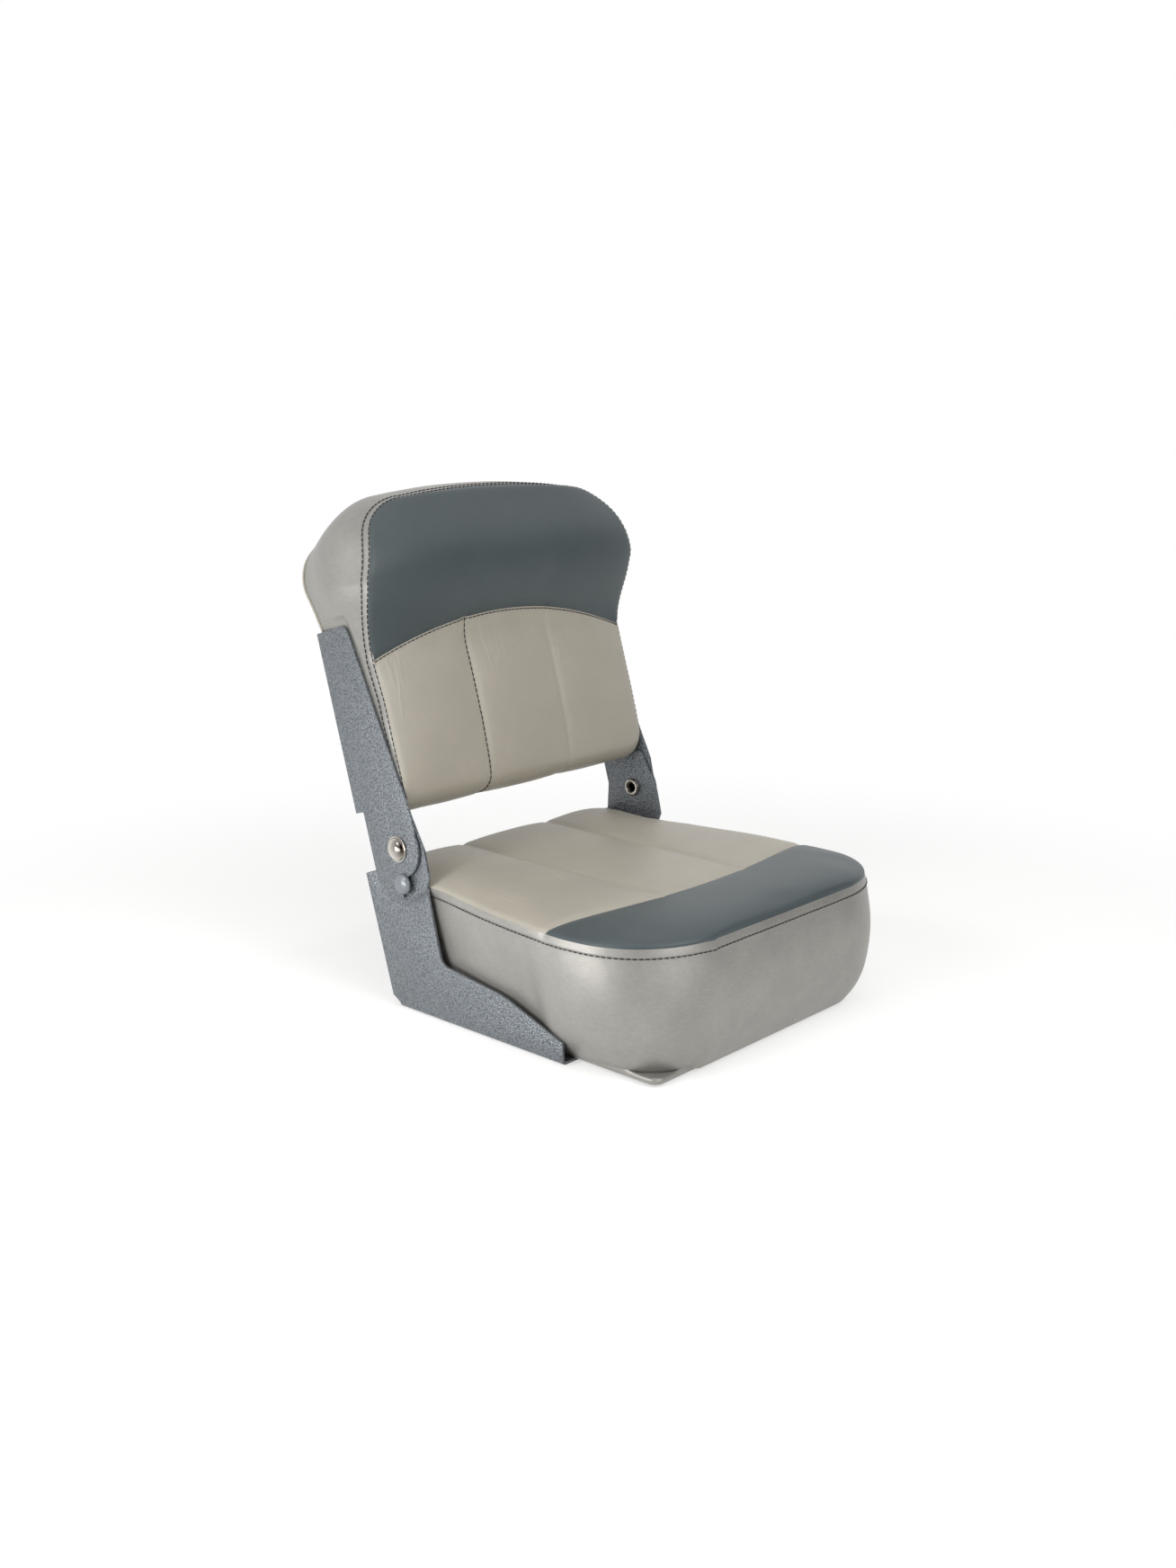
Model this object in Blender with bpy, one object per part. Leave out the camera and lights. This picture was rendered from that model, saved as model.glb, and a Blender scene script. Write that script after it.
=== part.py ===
# Folding boat seat: folded-steel seat frame and back frame, hinged on two hollow rivets, with sewn cushions.
# Metres, +Z up. The sitter looks along -Y. Left and right are as seen from the front: left is -X.
# The back is drawn upright in its own frame, with the hinge axis as its origin, and leans with its empty.
import math

import bmesh
import bpy
import numpy as np

# Sheet steel, covers and clearances
STEEL = 0.0028
BEND = 0.0045
VINYL = 0.0012
FIT = 0.0003
SEAM = 0.0004

# Hinge
EAR_INNER = 0.1795
WASHER = 0.0010
WASHER_R = 0.0150
PIVOT_Y = 0.1064
PIVOT_Z = 0.1708
LEAN = math.radians(16.5)
RIVET_SHANK_R = 0.0066
RIVET_BORE_R = 0.0052
RIVET_DOME_R = 0.0122
RIVET_DOME_H = 0.0062
RIVET_FLANGE_R = 0.0138
RIVET_FLANGE = 0.0012
RIVET_CURL = 0.0019
STOP_R = 0.0362
STOP_TILT = math.radians(3.7)
STOP_POST_R = 0.0049
STOP_SHANK_R = 0.0040
STOP_HEAD_R = 0.0108
STOP_HEAD_H = 0.0064
STOP_SINK = 0.0014
NOSE_CLEAR = 0.0008

# Seat frame, heights from the floor and distances behind the hinge axis
PLATE_FRONT = -0.2300
PLATE_FRONT_H = 0.0225
LEG_BEND_Y = -0.1500
LEG_BEND_H = 0.0500
HEEL_Y = -0.0628
HEEL_H = 0.0610
HEEL_FILLET = 0.0120
REAR_FOOT = 0.0129
REAR_LEAN = math.radians(17.0)
REAR_LENGTH = 0.1404
RELIEF = 0.0090
FLANGE = 0.0520
JOGGLE_R = 0.0515
JOGGLE_STEP = 0.0090
JOGGLE_TO = -47
EAR_TOP = 0.0442
EAR_TOP_FRONT = -0.0105
EAR_TOP_REAR = 0.0160
EAR_KNEE_Y = -0.0345
EAR_KNEE_Z = 0.0032
EAR_FRONT_Y = -0.0415
EAR_FRONT_Z = -0.0254
EAR_REAR_Y = 0.0380
EAR_REAR_Z = 0.0142

# Back frame, in the back's own frame
PANEL_Y = 0.0570
STEP_Z = 0.0432
ARM_TOP = 0.2337
ARM_TOP_FRONT = 0.0062
ARM_ELBOW_Y = -0.0304
ARM_ELBOW_Z = 0.0304
ARM_REAR = 0.0419
TAIL_R = 0.0515

# Seat cushion, distances behind the hinge axis
BOARD = 0.0110
BOARD_INSET = 0.0154
BOARD_FRONT = -0.3310
BOARD_CORNER = 0.0090
WRAP_LIP = 0.0220
SEAT_FRONT = -0.3525
SEAT_REAR = 0.0390
SEAT_OVERHANG = 0.0198
SEAT_CORNER = 0.0990
SEAT_REAR_CORNER = 0.0140
SEAT_SEAM_Z = 0.1362
SEAT_FOOT_INSET = 0.0149
SEAT_FOOT_CORNER = 0.0520
SKIRT_FLAT = 0.1000
SKIRT_EASE = 0.0450
SKIRT_LIFT = 0.0075
SEAT_CHANNEL = 0.0650
SEAT_BAND_CENTRE = -0.2520
SEAT_BAND_EDGE = -0.2240
SEAT_PILLOW = 0.0095
SEAT_CROWN = 0.0065
SEAT_BULGE = 0.0155
SEAT_BULGE_LOW = 1.35
CORNER_DRAW = 7
EAR_CLEAR = 0.0012

# Back cushion, in the back's own frame
BACK_BOARD = 0.0090
BACK_BOARD_TOP = 0.2430
BACK_UNDER = 0.0362
BACK_FACE = -0.0250
BACK_ROLL = 0.0240
BACK_CLEAR = 0.0019
HEAD_FLARE = 0.0128
HEAD_FLARE_FROM = 0.1500
HEAD_FLARE_TO = 0.2700
HEAD_CORNER = 0.0740
HEAD_TOP = 0.3490
HEAD_ARCH = 0.0070
HEAD_ROLL = 0.0126
HEAD_ROLL_FROM = 0.2930
BOLSTER = 0.0374
BOLSTER_FROM = 0.1900
BOLSTER_TO = 0.2900
BAND_CENTRE = 0.2236
BAND_EDGE = 0.1905
BACK_CHANNEL = 0.0610
BACK_PILLOW = 0.0020
BACK_CROWN = 0.0055
HEAD_PILLOW = 0.0090
BACK_REAR_INSET = 0.0084
BACK_REAR_CORNER = 0.0540
BACK_REAR_TOP = 0.3370
HEAD_REAR = 0.0630
HEAD_FULL = 0.0030
HEAD_TUCK = 0.0120
HEAD_SPREAD = 0.0090
HEAD_BULGE = 0.0140
HEAD_BULGE_RISE = 0.0420
HEAD_TOP_BULGE = 0.0130
ARM_SHADE = 0.0030
BACK_DRAFT = 0.0015

# Fasteners
TEE_PITCH = 0.1270
TEE_CENTRE = -0.1600
TEE_BARREL_R = 0.0042
TEE_BORE_R = 0.0031
TEE_FLANGE_R = 0.0095
TEE_FLANGE = 0.0014
SCREW_R = 0.0021
SCREW_HEAD_R = 0.0042
SCREW_HEAD = 0.0024
SCREW_LENGTH = 0.0085
SEAT_SCREW_INSET = 0.0058
SEAT_SCREW_Y = (-0.200, -0.110, -0.020)
BACK_SCREW_INSET = 0.0255
BACK_SCREW_Z = (0.075, 0.205)

EAR_OUTER = EAR_INNER + STEEL
ARM_INNER = EAR_OUTER + WASHER + 2 * FIT
SIDE_OUTER = ARM_INNER + STEEL
SEAT_HALF = SIDE_OUTER + SEAT_OVERHANG
BOARD_HALF = ARM_INNER - BOARD_INSET
SEAT_FOOT_HALF = ARM_INNER - SEAT_FOOT_INSET
SKIRT_GROW = 2 * (FIT + VINYL) + FIT
SEAT_FOOT_FRONT = BOARD_FRONT - SKIRT_GROW
SKIRT_HALF = BOARD_HALF + SKIRT_GROW
SKIRT_CORNER = BOARD_CORNER + SKIRT_GROW
SEAT_SCREW_X = SIDE_OUTER - FLANGE + SEAT_SCREW_INSET
BACK_HALF = ARM_INNER - BACK_CLEAR
HEAD_HALF = BACK_HALF + HEAD_FLARE
BACK_REAR_HALF = ARM_INNER - BACK_REAR_INSET
BACK_SCREW_X = BACK_REAR_HALF - BACK_SCREW_INSET
WRAP_Z = STEEL + FIT
BOARD_Z = WRAP_Z + VINYL + FIT
CUSHION_Z = BOARD_Z + BOARD + FIT
BACK_COVER_Y = PANEL_Y - STEEL - FIT
BACK_BOARD_Y = BACK_COVER_Y - VINYL - FIT
BACK_FOAM_Y = BACK_BOARD_Y - BACK_BOARD - FIT
STOP_Y = STOP_R * math.sin(STOP_TILT)
STOP_Z = -STOP_R * math.cos(STOP_TILT)
TAIL_FRONT = STOP_Y + STOP_POST_R + FIT
NOSE_R = STOP_R - STOP_POST_R - NOSE_CLEAR


def clear_scene():
    for old in list(bpy.data.objects):
        bpy.data.objects.remove(old, do_unlink=True)


def finish(name, colour, roughness, metallic=0.0):
    made = bpy.data.materials.new(name)
    made.use_nodes = True
    shader = made.node_tree.nodes["Principled BSDF"]
    shader.inputs["Base Color"].default_value = (*colour, 1.0)
    shader.inputs["Roughness"].default_value = roughness
    shader.inputs["Metallic"].default_value = metallic
    made.diffuse_color = (*colour, 1.0)
    return made


def smooth(t):
    t = min(max(t, 0.0), 1.0)
    return t * t * (3 - 2 * t)


def polar(radius, degrees):
    """A point round the hinge axis as (y, z): 0 is straight down, and the angle grows to the rear."""
    angle = math.radians(degrees)
    return radius * math.sin(angle), -radius * math.cos(angle)


def arc(radius, start, end, steps):
    return [polar(radius, start + (end - start) * k / steps) for k in range(steps + 1)]


def rounded(corners, steps=4):
    """An outline from corners (a, b, fillet radius), with each fillet drawn as an arc."""
    outline = []
    count = len(corners)
    for k, (a, b, radius) in enumerate(corners):
        here = np.array((a, b))
        if radius <= 0:
            outline.append((a, b))
            continue
        before = np.array(corners[k - 1][:2]) - here
        after = np.array(corners[(k + 1) % count][:2]) - here
        before /= np.linalg.norm(before)
        after /= np.linalg.norm(after)
        half = math.acos(float(np.clip(before @ after, -1, 1))) / 2
        middle = before + after
        centre = here + middle / np.linalg.norm(middle) * radius / math.sin(half)
        start = here + before * radius / math.tan(half) - centre
        end = here + after * radius / math.tan(half) - centre
        sweep = math.pi - 2 * half
        turn = math.copysign(1.0, start[0] * end[1] - start[1] * end[0])
        for step in range(steps + 1):
            angle = turn * sweep * step / steps
            spin = np.array(((math.cos(angle), -math.sin(angle)), (math.sin(angle), math.cos(angle))))
            outline.append(tuple(centre + spin @ start))
    return outline


def place(name, bm, material, parent, soft=False):
    """One closed body from a bmesh, facing out, under its empty."""
    bmesh.ops.remove_doubles(bm, verts=bm.verts, dist=1e-7)
    bmesh.ops.recalc_face_normals(bm, faces=bm.faces)
    mesh = bpy.data.meshes.new(name)
    bm.to_mesh(mesh)
    bm.free()
    mesh.shade_smooth()
    mesh.set_sharp_from_angle(angle=math.radians(60 if soft else 35))
    made = bpy.data.objects.new(name, mesh)
    made.data.materials.append(material)
    made.parent = parent
    bpy.context.scene.collection.objects.link(made)
    return made


def add_polygon(bm, points):
    return bm.faces.new([bm.verts.new(point) for point in points])


def add_strip(bm, first, second):
    for k in range(len(first) - 1):
        add_polygon(bm, (first[k], first[k + 1], second[k + 1], second[k]))


def add_revolved(bm, profile, centre, axis, steps):
    """A turned body: its profile, as (along the axis, radius), closes through the axis or on itself."""
    axis = np.array(axis, float)
    side = np.cross(axis, (0.0, 0.0, 1.0) if abs(axis[2]) < 0.5 else (1.0, 0.0, 0.0))
    side /= np.linalg.norm(side)
    up = np.cross(axis, side)
    rings = []
    for along, radius in profile:
        middle = np.array(centre) + axis * along
        if radius == 0:
            rings.append([bm.verts.new(middle)] * steps)
            continue
        turns = [2 * math.pi * k / steps for k in range(steps)]
        circle = [middle + radius * (side * math.cos(t) + up * math.sin(t)) for t in turns]
        rings.append([bm.verts.new(point) for point in circle])
    ends = [radius for _, radius in profile]
    pairs = list(zip(rings, rings[1:]))
    if ends[0] > 0 and ends[-1] > 0:
        pairs.append((rings[-1], rings[0]))
    for ring, other in pairs:
        for k in range(steps):
            corners = (ring[k], ring[(k + 1) % steps], other[(k + 1) % steps], other[k])
            bm.faces.new(list(dict.fromkeys(corners)))


def add_prism(bm, outline, low, high):
    """An upright prism on an outline in x and y."""
    bottom = [bm.verts.new((x, y, low)) for x, y in outline]
    top = [bm.verts.new((x, y, high)) for x, y in outline]
    bm.faces.new(bottom[::-1])
    bm.faces.new(top)
    for k in range(len(outline)):
        after = (k + 1) % len(outline)
        bm.faces.new((bottom[k], bottom[after], top[after], top[k]))


def cut(target, bm):
    """Cuts the bodies of a bmesh out of an object, and keeps the cutter as a hidden helper."""
    cutter = place(target.name + "_cutter", bm, target.data.materials[0], target.parent)
    cutter.hide_render = True
    cutter.display_type = "WIRE"
    hole = target.modifiers.new("holes", "BOOLEAN")
    hole.operation = "DIFFERENCE"
    hole.solver = "EXACT"
    hole.object = cutter


def add_hole(bm, start, end, radius, steps=16):
    start = np.array(start, float)
    run = np.array(end, float) - start
    length = float(np.linalg.norm(run))
    add_revolved(bm, ((0, 0), (0, radius), (length, radius), (length, 0)), start, run / length, steps)


def sheet(name, bm, material, parent):
    """A folded sheet drawn as its outer faces and thickened inwards."""
    bmesh.ops.remove_doubles(bm, verts=bm.verts, dist=1e-6)
    bmesh.ops.recalc_face_normals(bm, faces=bm.faces)
    bm.faces.ensure_lookup_table()
    widest = max(bm.faces, key=lambda face: abs(face.calc_center_median().x) * (abs(face.normal.x) > 0.99))
    if widest.normal.x * widest.calc_center_median().x < 0:
        bmesh.ops.reverse_faces(bm, faces=bm.faces)
    mesh = bpy.data.meshes.new(name)
    bm.to_mesh(mesh)
    bm.free()
    mesh.shade_smooth()
    mesh.set_sharp_from_angle(angle=math.radians(35))
    made = bpy.data.objects.new(name, mesh)
    made.data.materials.append(material)
    made.parent = parent
    bpy.context.scene.collection.objects.link(made)
    wall = made.modifiers.new("sheet", "SOLIDIFY")
    wall.thickness = STEEL
    wall.offset = -1
    wall.use_even_offset = True
    return made


def rear_point(along, out):
    """A point of the seat's rear panel as (y, z): along its slope from the floor, and out of its face."""
    y = PIVOT_Y + REAR_FOOT + along * math.sin(REAR_LEAN) + out * math.cos(REAR_LEAN)
    return y, along * math.cos(REAR_LEAN) - out * math.sin(REAR_LEAN)


def joggle(share):
    """A line of the pressed step round the hinge as (y, z), from the side plate's top edge to the front."""
    radius = JOGGLE_R + JOGGLE_STEP * (1 - share)
    drop = PIVOT_Z * math.cos(REAR_LEAN) - REAR_FOOT * math.sin(REAR_LEAN) - REAR_LENGTH
    start = math.degrees(math.acos(drop / radius) - REAR_LEAN)
    return [(PIVOT_Y + y, PIVOT_Z + z) for y, z in arc(radius, start, JOGGLE_TO, 11)]


JOGGLE_SHAPE = ((0.0, 0.0), (0.25, 0.12), (0.5, 0.5), (0.75, 0.88), (1.0, 1.0))


def bend_angles(steps=3):
    return [math.pi / 2 * k / steps for k in range(steps + 1)]


def seat_frame(paint, parent):
    bm = bmesh.new()
    joggle_outer, joggle_inner = joggle(0), joggle(1)
    flange_rear = rear_point(RELIEF, -BEND)[0] - RELIEF
    plate = [
        (PIVOT_Y + PLATE_FRONT, BEND, 0),
        (flange_rear, BEND, 0),
        (*rear_point(RELIEF, -BEND), 0),
        (*rear_point(REAR_LENGTH, -BEND), 0),
        *((y, z, 0) for y, z in joggle_outer),
        (PIVOT_Y + HEEL_Y, HEEL_H, HEEL_FILLET),
        (PIVOT_Y + LEG_BEND_Y, LEG_BEND_H, 10 * HEEL_FILLET),
        (PIVOT_Y + PLATE_FRONT, PLATE_FRONT_H, 0),
    ]
    ear = [
        *((y, z, 0) for y, z in joggle_inner[::-1]),
        (PIVOT_Y + EAR_REAR_Y, PIVOT_Z + EAR_REAR_Z, HEEL_FILLET),
        (PIVOT_Y + EAR_TOP_REAR, PIVOT_Z + EAR_TOP, HEEL_FILLET),
        (PIVOT_Y + EAR_TOP_FRONT, PIVOT_Z + EAR_TOP, HEEL_FILLET / 2),
        (PIVOT_Y + EAR_KNEE_Y, PIVOT_Z + EAR_KNEE_Z, HEEL_FILLET),
        (PIVOT_Y + EAR_FRONT_Y, PIVOT_Z + EAR_FRONT_Z, HEEL_FILLET / 2),
    ]
    flange = [
        (SIDE_OUTER - BEND, PIVOT_Y + PLATE_FRONT, 0),
        (SIDE_OUTER - FLANGE, PIVOT_Y + PLATE_FRONT, HEEL_FILLET),
        (SIDE_OUTER - FLANGE, flange_rear, HEEL_FILLET),
        (SIDE_OUTER - BEND, flange_rear, 0),
    ]
    panel = []
    for side in (-1, 1):
        add_polygon(bm, [(side * SIDE_OUTER, y, z) for y, z in rounded(plate)])
        add_polygon(bm, [(side * EAR_OUTER, y, z) for y, z in rounded(ear)])
        press = []
        for share, depth in JOGGLE_SHAPE:
            x = side * (SIDE_OUTER + (EAR_OUTER - SIDE_OUTER) * depth)
            press.append([(x, y, z) for y, z in joggle(share)])
        for line, after in zip(press, press[1:]):
            add_strip(bm, line, after)
        add_polygon(bm, [(side * x, y, 0) for x, y in rounded(flange)])
        lower, rear = [], []
        for angle in bend_angles():
            x = side * (SIDE_OUTER - BEND + BEND * math.cos(angle))
            sunk = BEND - BEND * math.sin(angle)
            lower.append(((x, PIVOT_Y + PLATE_FRONT, sunk), (x, flange_rear, sunk)))
            rear.append(((x, *rear_point(RELIEF, -sunk)), (x, *rear_point(REAR_LENGTH, -sunk))))
        for bend in (lower, rear):
            add_strip(bm, [ends[0] for ends in bend], [ends[1] for ends in bend])
        panel += rear[-1][::side]
    add_polygon(bm, (panel[0], panel[1], panel[2], panel[3]))
    made = sheet("seat_frame", bm, paint, parent)
    holes = bmesh.new()
    stop_y, stop_z = back_to_world(STOP_Y, STOP_Z)
    for side in (-1, 1):
        inside, outside = side * (EAR_INNER - STEEL), side * (EAR_OUTER + STEEL)
        add_hole(holes, (inside, PIVOT_Y, PIVOT_Z), (outside, PIVOT_Y, PIVOT_Z), RIVET_SHANK_R + FIT, 24)
        wide = STOP_SHANK_R + STOP_SINK + FIT
        sink = ((EAR_INNER - STEEL, 0), (EAR_INNER - STEEL, wide), (EAR_INNER, wide))
        slim = STOP_SHANK_R + FIT
        sink += ((EAR_INNER + STOP_SINK, slim), (ARM_INNER, slim), (ARM_INNER, 0))
        add_revolved(holes, sink, (0, stop_y, stop_z), (side, 0, 0), 24)
        for y in SEAT_SCREW_Y:
            at = (side * SEAT_SCREW_X, PIVOT_Y + y, 0)
            cone = ((-STEEL, 0), (-STEEL, SCREW_HEAD_R + FIT), (FIT, SCREW_HEAD_R + FIT))
            cone += ((SCREW_HEAD, SCREW_R + FIT), (2 * STEEL, SCREW_R + FIT), (2 * STEEL, 0))
            add_revolved(holes, cone, at, (0, 0, 1), 12)
    cut(made, holes)


def back_to_world(y, z):
    """A point of the back's own frame as world (y, z), at rest."""
    world_y = PIVOT_Y + y * math.cos(LEAN) + z * math.sin(LEAN)
    return world_y, PIVOT_Z - y * math.sin(LEAN) + z * math.cos(LEAN)


def arm_front(z):
    """The arm's front edge, as y at a height in the back's own frame."""
    share = (z - ARM_ELBOW_Z) / (ARM_TOP - ARM_ELBOW_Z)
    return ARM_ELBOW_Y + (ARM_TOP_FRONT - ARM_ELBOW_Y) * min(max(share, 0.0), 1.0)


def back_frame(paint, parent):
    bm = bmesh.new()
    nose = arc(NOSE_R, -107, math.degrees(math.asin(TAIL_FRONT / NOSE_R)), 10)
    tail_start = math.degrees(math.asin(TAIL_FRONT / TAIL_R))
    tail = arc(TAIL_R, tail_start, math.degrees(math.asin(ARM_REAR / TAIL_R)), 5)
    arm = [
        (PANEL_Y - BEND, STEP_Z, 0),
        (PANEL_Y - BEND, ARM_TOP, 0),
        (ARM_TOP_FRONT, ARM_TOP, 0.009),
        (ARM_ELBOW_Y, ARM_ELBOW_Z, 0.02),
        *((y, z, 0) for y, z in nose),
        *((y, z, 0) for y, z in tail),
        (ARM_REAR, STEP_Z, 0.002),
    ]
    panel = []
    for side in (-1, 1):
        add_polygon(bm, [(side * SIDE_OUTER, y, z) for y, z in rounded(arm)])
        bend = []
        for angle in bend_angles():
            x = side * (SIDE_OUTER - BEND + BEND * math.cos(angle))
            y = PANEL_Y - BEND + BEND * math.sin(angle)
            bend.append(((x, y, STEP_Z), (x, y, ARM_TOP)))
        add_strip(bm, [ends[0] for ends in bend], [ends[1] for ends in bend])
        panel += bend[-1][::side]
    add_polygon(bm, panel)
    made = sheet("back_frame", bm, paint, parent)
    holes = bmesh.new()
    for side in (-1, 1):
        inside, outside = side * (ARM_INNER - STEEL), side * (SIDE_OUTER + STEEL)
        add_hole(holes, (inside, 0, 0), (outside, 0, 0), RIVET_SHANK_R + FIT, 24)
    for x, z in back_screw_places():
        add_hole(holes, (x, PANEL_Y - 2 * STEEL, z), (x, PANEL_Y + STEEL, z), SCREW_R + FIT, 12)
    cut(made, holes)


def back_screw_places():
    across = (-BACK_SCREW_X, 0.0, BACK_SCREW_X)
    return [(x, z) for x in across for z in BACK_SCREW_Z]


def hinge_hardware(chrome, paint, zinc, parent):
    stop_y, stop_z = back_to_world(STOP_Y, STOP_Z)
    flange_x = SIDE_OUTER + FIT
    dome_x = flange_x + RIVET_FLANGE
    dome = [math.pi / 2 * k / 6 for k in range(7)]
    curl_x = EAR_INNER - FIT - RIVET_CURL
    curl = [math.pi * k / 5 for k in range(6)]
    curl_r = RIVET_SHANK_R + RIVET_CURL
    rivet = [(dome_x + RIVET_DOME_H * math.cos(a), RIVET_DOME_R * math.sin(a)) for a in dome]
    rivet += [(dome_x, RIVET_FLANGE_R), (flange_x, RIVET_FLANGE_R), (flange_x, RIVET_SHANK_R)]
    rivet += [(EAR_INNER - FIT, RIVET_SHANK_R)]
    rivet += [(curl_x + RIVET_CURL * math.cos(a), curl_r + RIVET_CURL * math.sin(a)) for a in curl[:-1]]
    rivet += [(curl_x - RIVET_CURL, RIVET_SHANK_R), (curl_x, RIVET_BORE_R)]
    rivet += [(SIDE_OUTER, RIVET_BORE_R), (SIDE_OUTER, 0)]
    head_x = SIDE_OUTER + 2 * FIT
    rim_x = head_x + STOP_HEAD_H / 3
    stop = [(head_x + STOP_HEAD_H, 0)]
    stop += [(rim_x + STOP_HEAD_H * 2 / 3 * math.cos(a), STOP_HEAD_R * math.sin(a)) for a in dome[1:]]
    stop += [(head_x, STOP_HEAD_R), (head_x, STOP_POST_R), (EAR_OUTER + FIT, STOP_POST_R)]
    stop += [(EAR_OUTER + FIT, STOP_SHANK_R), (EAR_INNER + STOP_SINK, STOP_SHANK_R)]
    stop += [(EAR_INNER, STOP_SHANK_R + STOP_SINK), (EAR_INNER, 0)]
    washer_x = EAR_OUTER + FIT
    washer = [(washer_x, RIVET_SHANK_R + FIT), (washer_x, WASHER_R)]
    washer += [(washer_x + WASHER, WASHER_R), (washer_x + WASHER, RIVET_SHANK_R + FIT)]
    for side, hand in ((-1, "left"), (1, "right")):
        axis = (side, 0, 0)
        for name, profile, at, material in (
            ("pivot_rivet_", rivet, (0, PIVOT_Y, PIVOT_Z), chrome),
            ("pivot_washer_", washer, (0, PIVOT_Y, PIVOT_Z), zinc),
            ("stop_rivet_", stop, (0, stop_y, stop_z), paint),
        ):
            bm = bmesh.new()
            add_revolved(bm, profile, at, axis, 24)
            place(name + hand, bm, material, parent)


def copies(name, profile, axis, places, steps, material, parent):
    """One turned piece at each place, as objects that share a mesh."""
    bm = bmesh.new()
    add_revolved(bm, profile, (0, 0, 0), axis, steps)
    first = place(name + "_1", bm, material, parent)
    first.location = places[0]
    for k, at in enumerate(places[1:]):
        other = bpy.data.objects.new(f"{name}_{k + 2}", first.data)
        other.parent = parent
        other.location = at
        bpy.context.scene.collection.objects.link(other)


def screws(zinc, seat, back):
    """Wood screws: flat heads lie in the flanges' countersinks, pan heads stand on the back's rear panel."""
    reach = STEEL + SCREW_LENGTH
    point = [(reach - SCREW_R, SCREW_R), (reach, 0)]
    flat = [(FIT, 0), (FIT, SCREW_HEAD_R), (SCREW_HEAD, SCREW_R)]
    copies("seat_screw", flat + point, (0, 0, 1), seat_screw_places(), 12, zinc, seat)
    pan = [(-SCREW_HEAD, 0), (-SCREW_HEAD, SCREW_HEAD_R * 0.6), (-SCREW_HEAD / 2, SCREW_HEAD_R)]
    pan += [(-FIT, SCREW_HEAD_R), (-FIT, SCREW_R)]
    places = [(x, PANEL_Y, z) for x, z in back_screw_places()]
    copies("back_screw", pan + point, (0, -1, 0), places, 12, zinc, back)


def seat_screw_places():
    return [(side * SEAT_SCREW_X, PIVOT_Y + y, 0) for side in (-1, 1) for y in SEAT_SCREW_Y]


def tee_places():
    half = TEE_PITCH / 2
    return [(x, PIVOT_Y + TEE_CENTRE + y) for x in (-half, half) for y in (-half, half)]


def board_rear():
    """The board stops short of the rear panel by its wrap and clearances, measured at its lower edge."""
    panel = rear_point(0, -STEEL)[0] + WRAP_Z * math.tan(REAR_LEAN)
    return panel - VINYL - 3 * FIT


def board_outline(grow):
    front = PIVOT_Y + BOARD_FRONT - grow
    rear = board_rear() + grow
    half = BOARD_HALF + grow
    corner = max(BOARD_CORNER + grow, BOARD_CORNER / 4)
    ends = ((-half, front), (half, front), (half, rear), (-half, rear))
    return rounded([(x, y, corner) for x, y in ends])


def seat_base(ply, silver, zinc, parent):
    bm = bmesh.new()
    add_prism(bm, board_outline(0), BOARD_Z, BOARD_Z + BOARD)
    board = place("seat_board", bm, ply, parent)
    holes = bmesh.new()
    for x, y in tee_places():
        top = BOARD_Z + BOARD
        seat = top - TEE_FLANGE - 2 * FIT
        narrow, wide = TEE_BARREL_R + FIT, TEE_FLANGE_R + FIT
        step = ((-STEEL, 0), (-STEEL, narrow), (seat - BOARD_Z, narrow))
        step += ((seat - BOARD_Z, wide), (BOARD + STEEL, wide), (BOARD + STEEL, 0))
        add_revolved(holes, step, (x, y, BOARD_Z), (0, 0, 1), 16)
    for x, y, z in seat_screw_places():
        add_hole(holes, (x, y, 0), (x, y, STEEL + SCREW_LENGTH + FIT), SCREW_R + FIT, 12)
    cut(board, holes)

    bm = bmesh.new()
    low = BOARD_Z - FIT - VINYL
    section = [(FIT, BOARD_Z + BOARD), (FIT + VINYL, BOARD_Z + BOARD), (FIT + VINYL, low)]
    section += [(-WRAP_LIP, low), (-WRAP_LIP, BOARD_Z - FIT), (FIT, BOARD_Z - FIT)]
    loops = [[bm.verts.new((x, y, z)) for x, y in board_outline(grow)] for grow, z in section]
    for k, loop in enumerate(loops):
        other = loops[(k + 1) % len(loops)]
        for j in range(len(loop)):
            after = (j + 1) % len(loop)
            bm.faces.new((loop[j], loop[after], other[after], other[j]))
    place("seat_board_wrap", bm, silver, parent)

    seat = BOARD - TEE_FLANGE - FIT
    tee = [(0, TEE_BORE_R), (0, TEE_BARREL_R), (seat, TEE_BARREL_R), (seat, TEE_FLANGE_R)]
    tee += [(seat + TEE_FLANGE, TEE_FLANGE_R), (seat + TEE_FLANGE, TEE_BORE_R)]
    copies("seat_tee_nut", tee, (0, 0, 1), [(x, y, BOARD_Z) for x, y in tee_places()], 16, zinc, parent)


def rim(rows, columns):
    """Grid places (row, column) once round the edge of a grid, from its first corner along its first row."""
    loop = [(0, i) for i in range(columns)]
    loop += [(j, columns - 1) for j in range(1, rows)]
    loop += [(rows - 1, i) for i in range(columns - 2, -1, -1)]
    loop += [(j, 0) for j in range(rows - 2, 0, -1)]
    return loop


def add_quad(bm, a, b, c, d):
    """A four-sided patch, split the same way in a cover and in the foam under it so that they stay apart."""
    bm.faces.new((a, b, c))
    bm.faces.new((a, c, d))


def add_grid_faces(bm, verts):
    for j in range(len(verts) - 1):
        for i in range(len(verts[0]) - 1):
            add_quad(bm, verts[j][i], verts[j][i + 1], verts[j + 1][i + 1], verts[j + 1][i])


def add_loop_faces(bm, upper, lower, closed):
    count = len(upper)
    for k in range(count if closed else count - 1):
        after = (k + 1) % count
        add_quad(bm, upper[k], upper[after], lower[after], lower[k])


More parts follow.
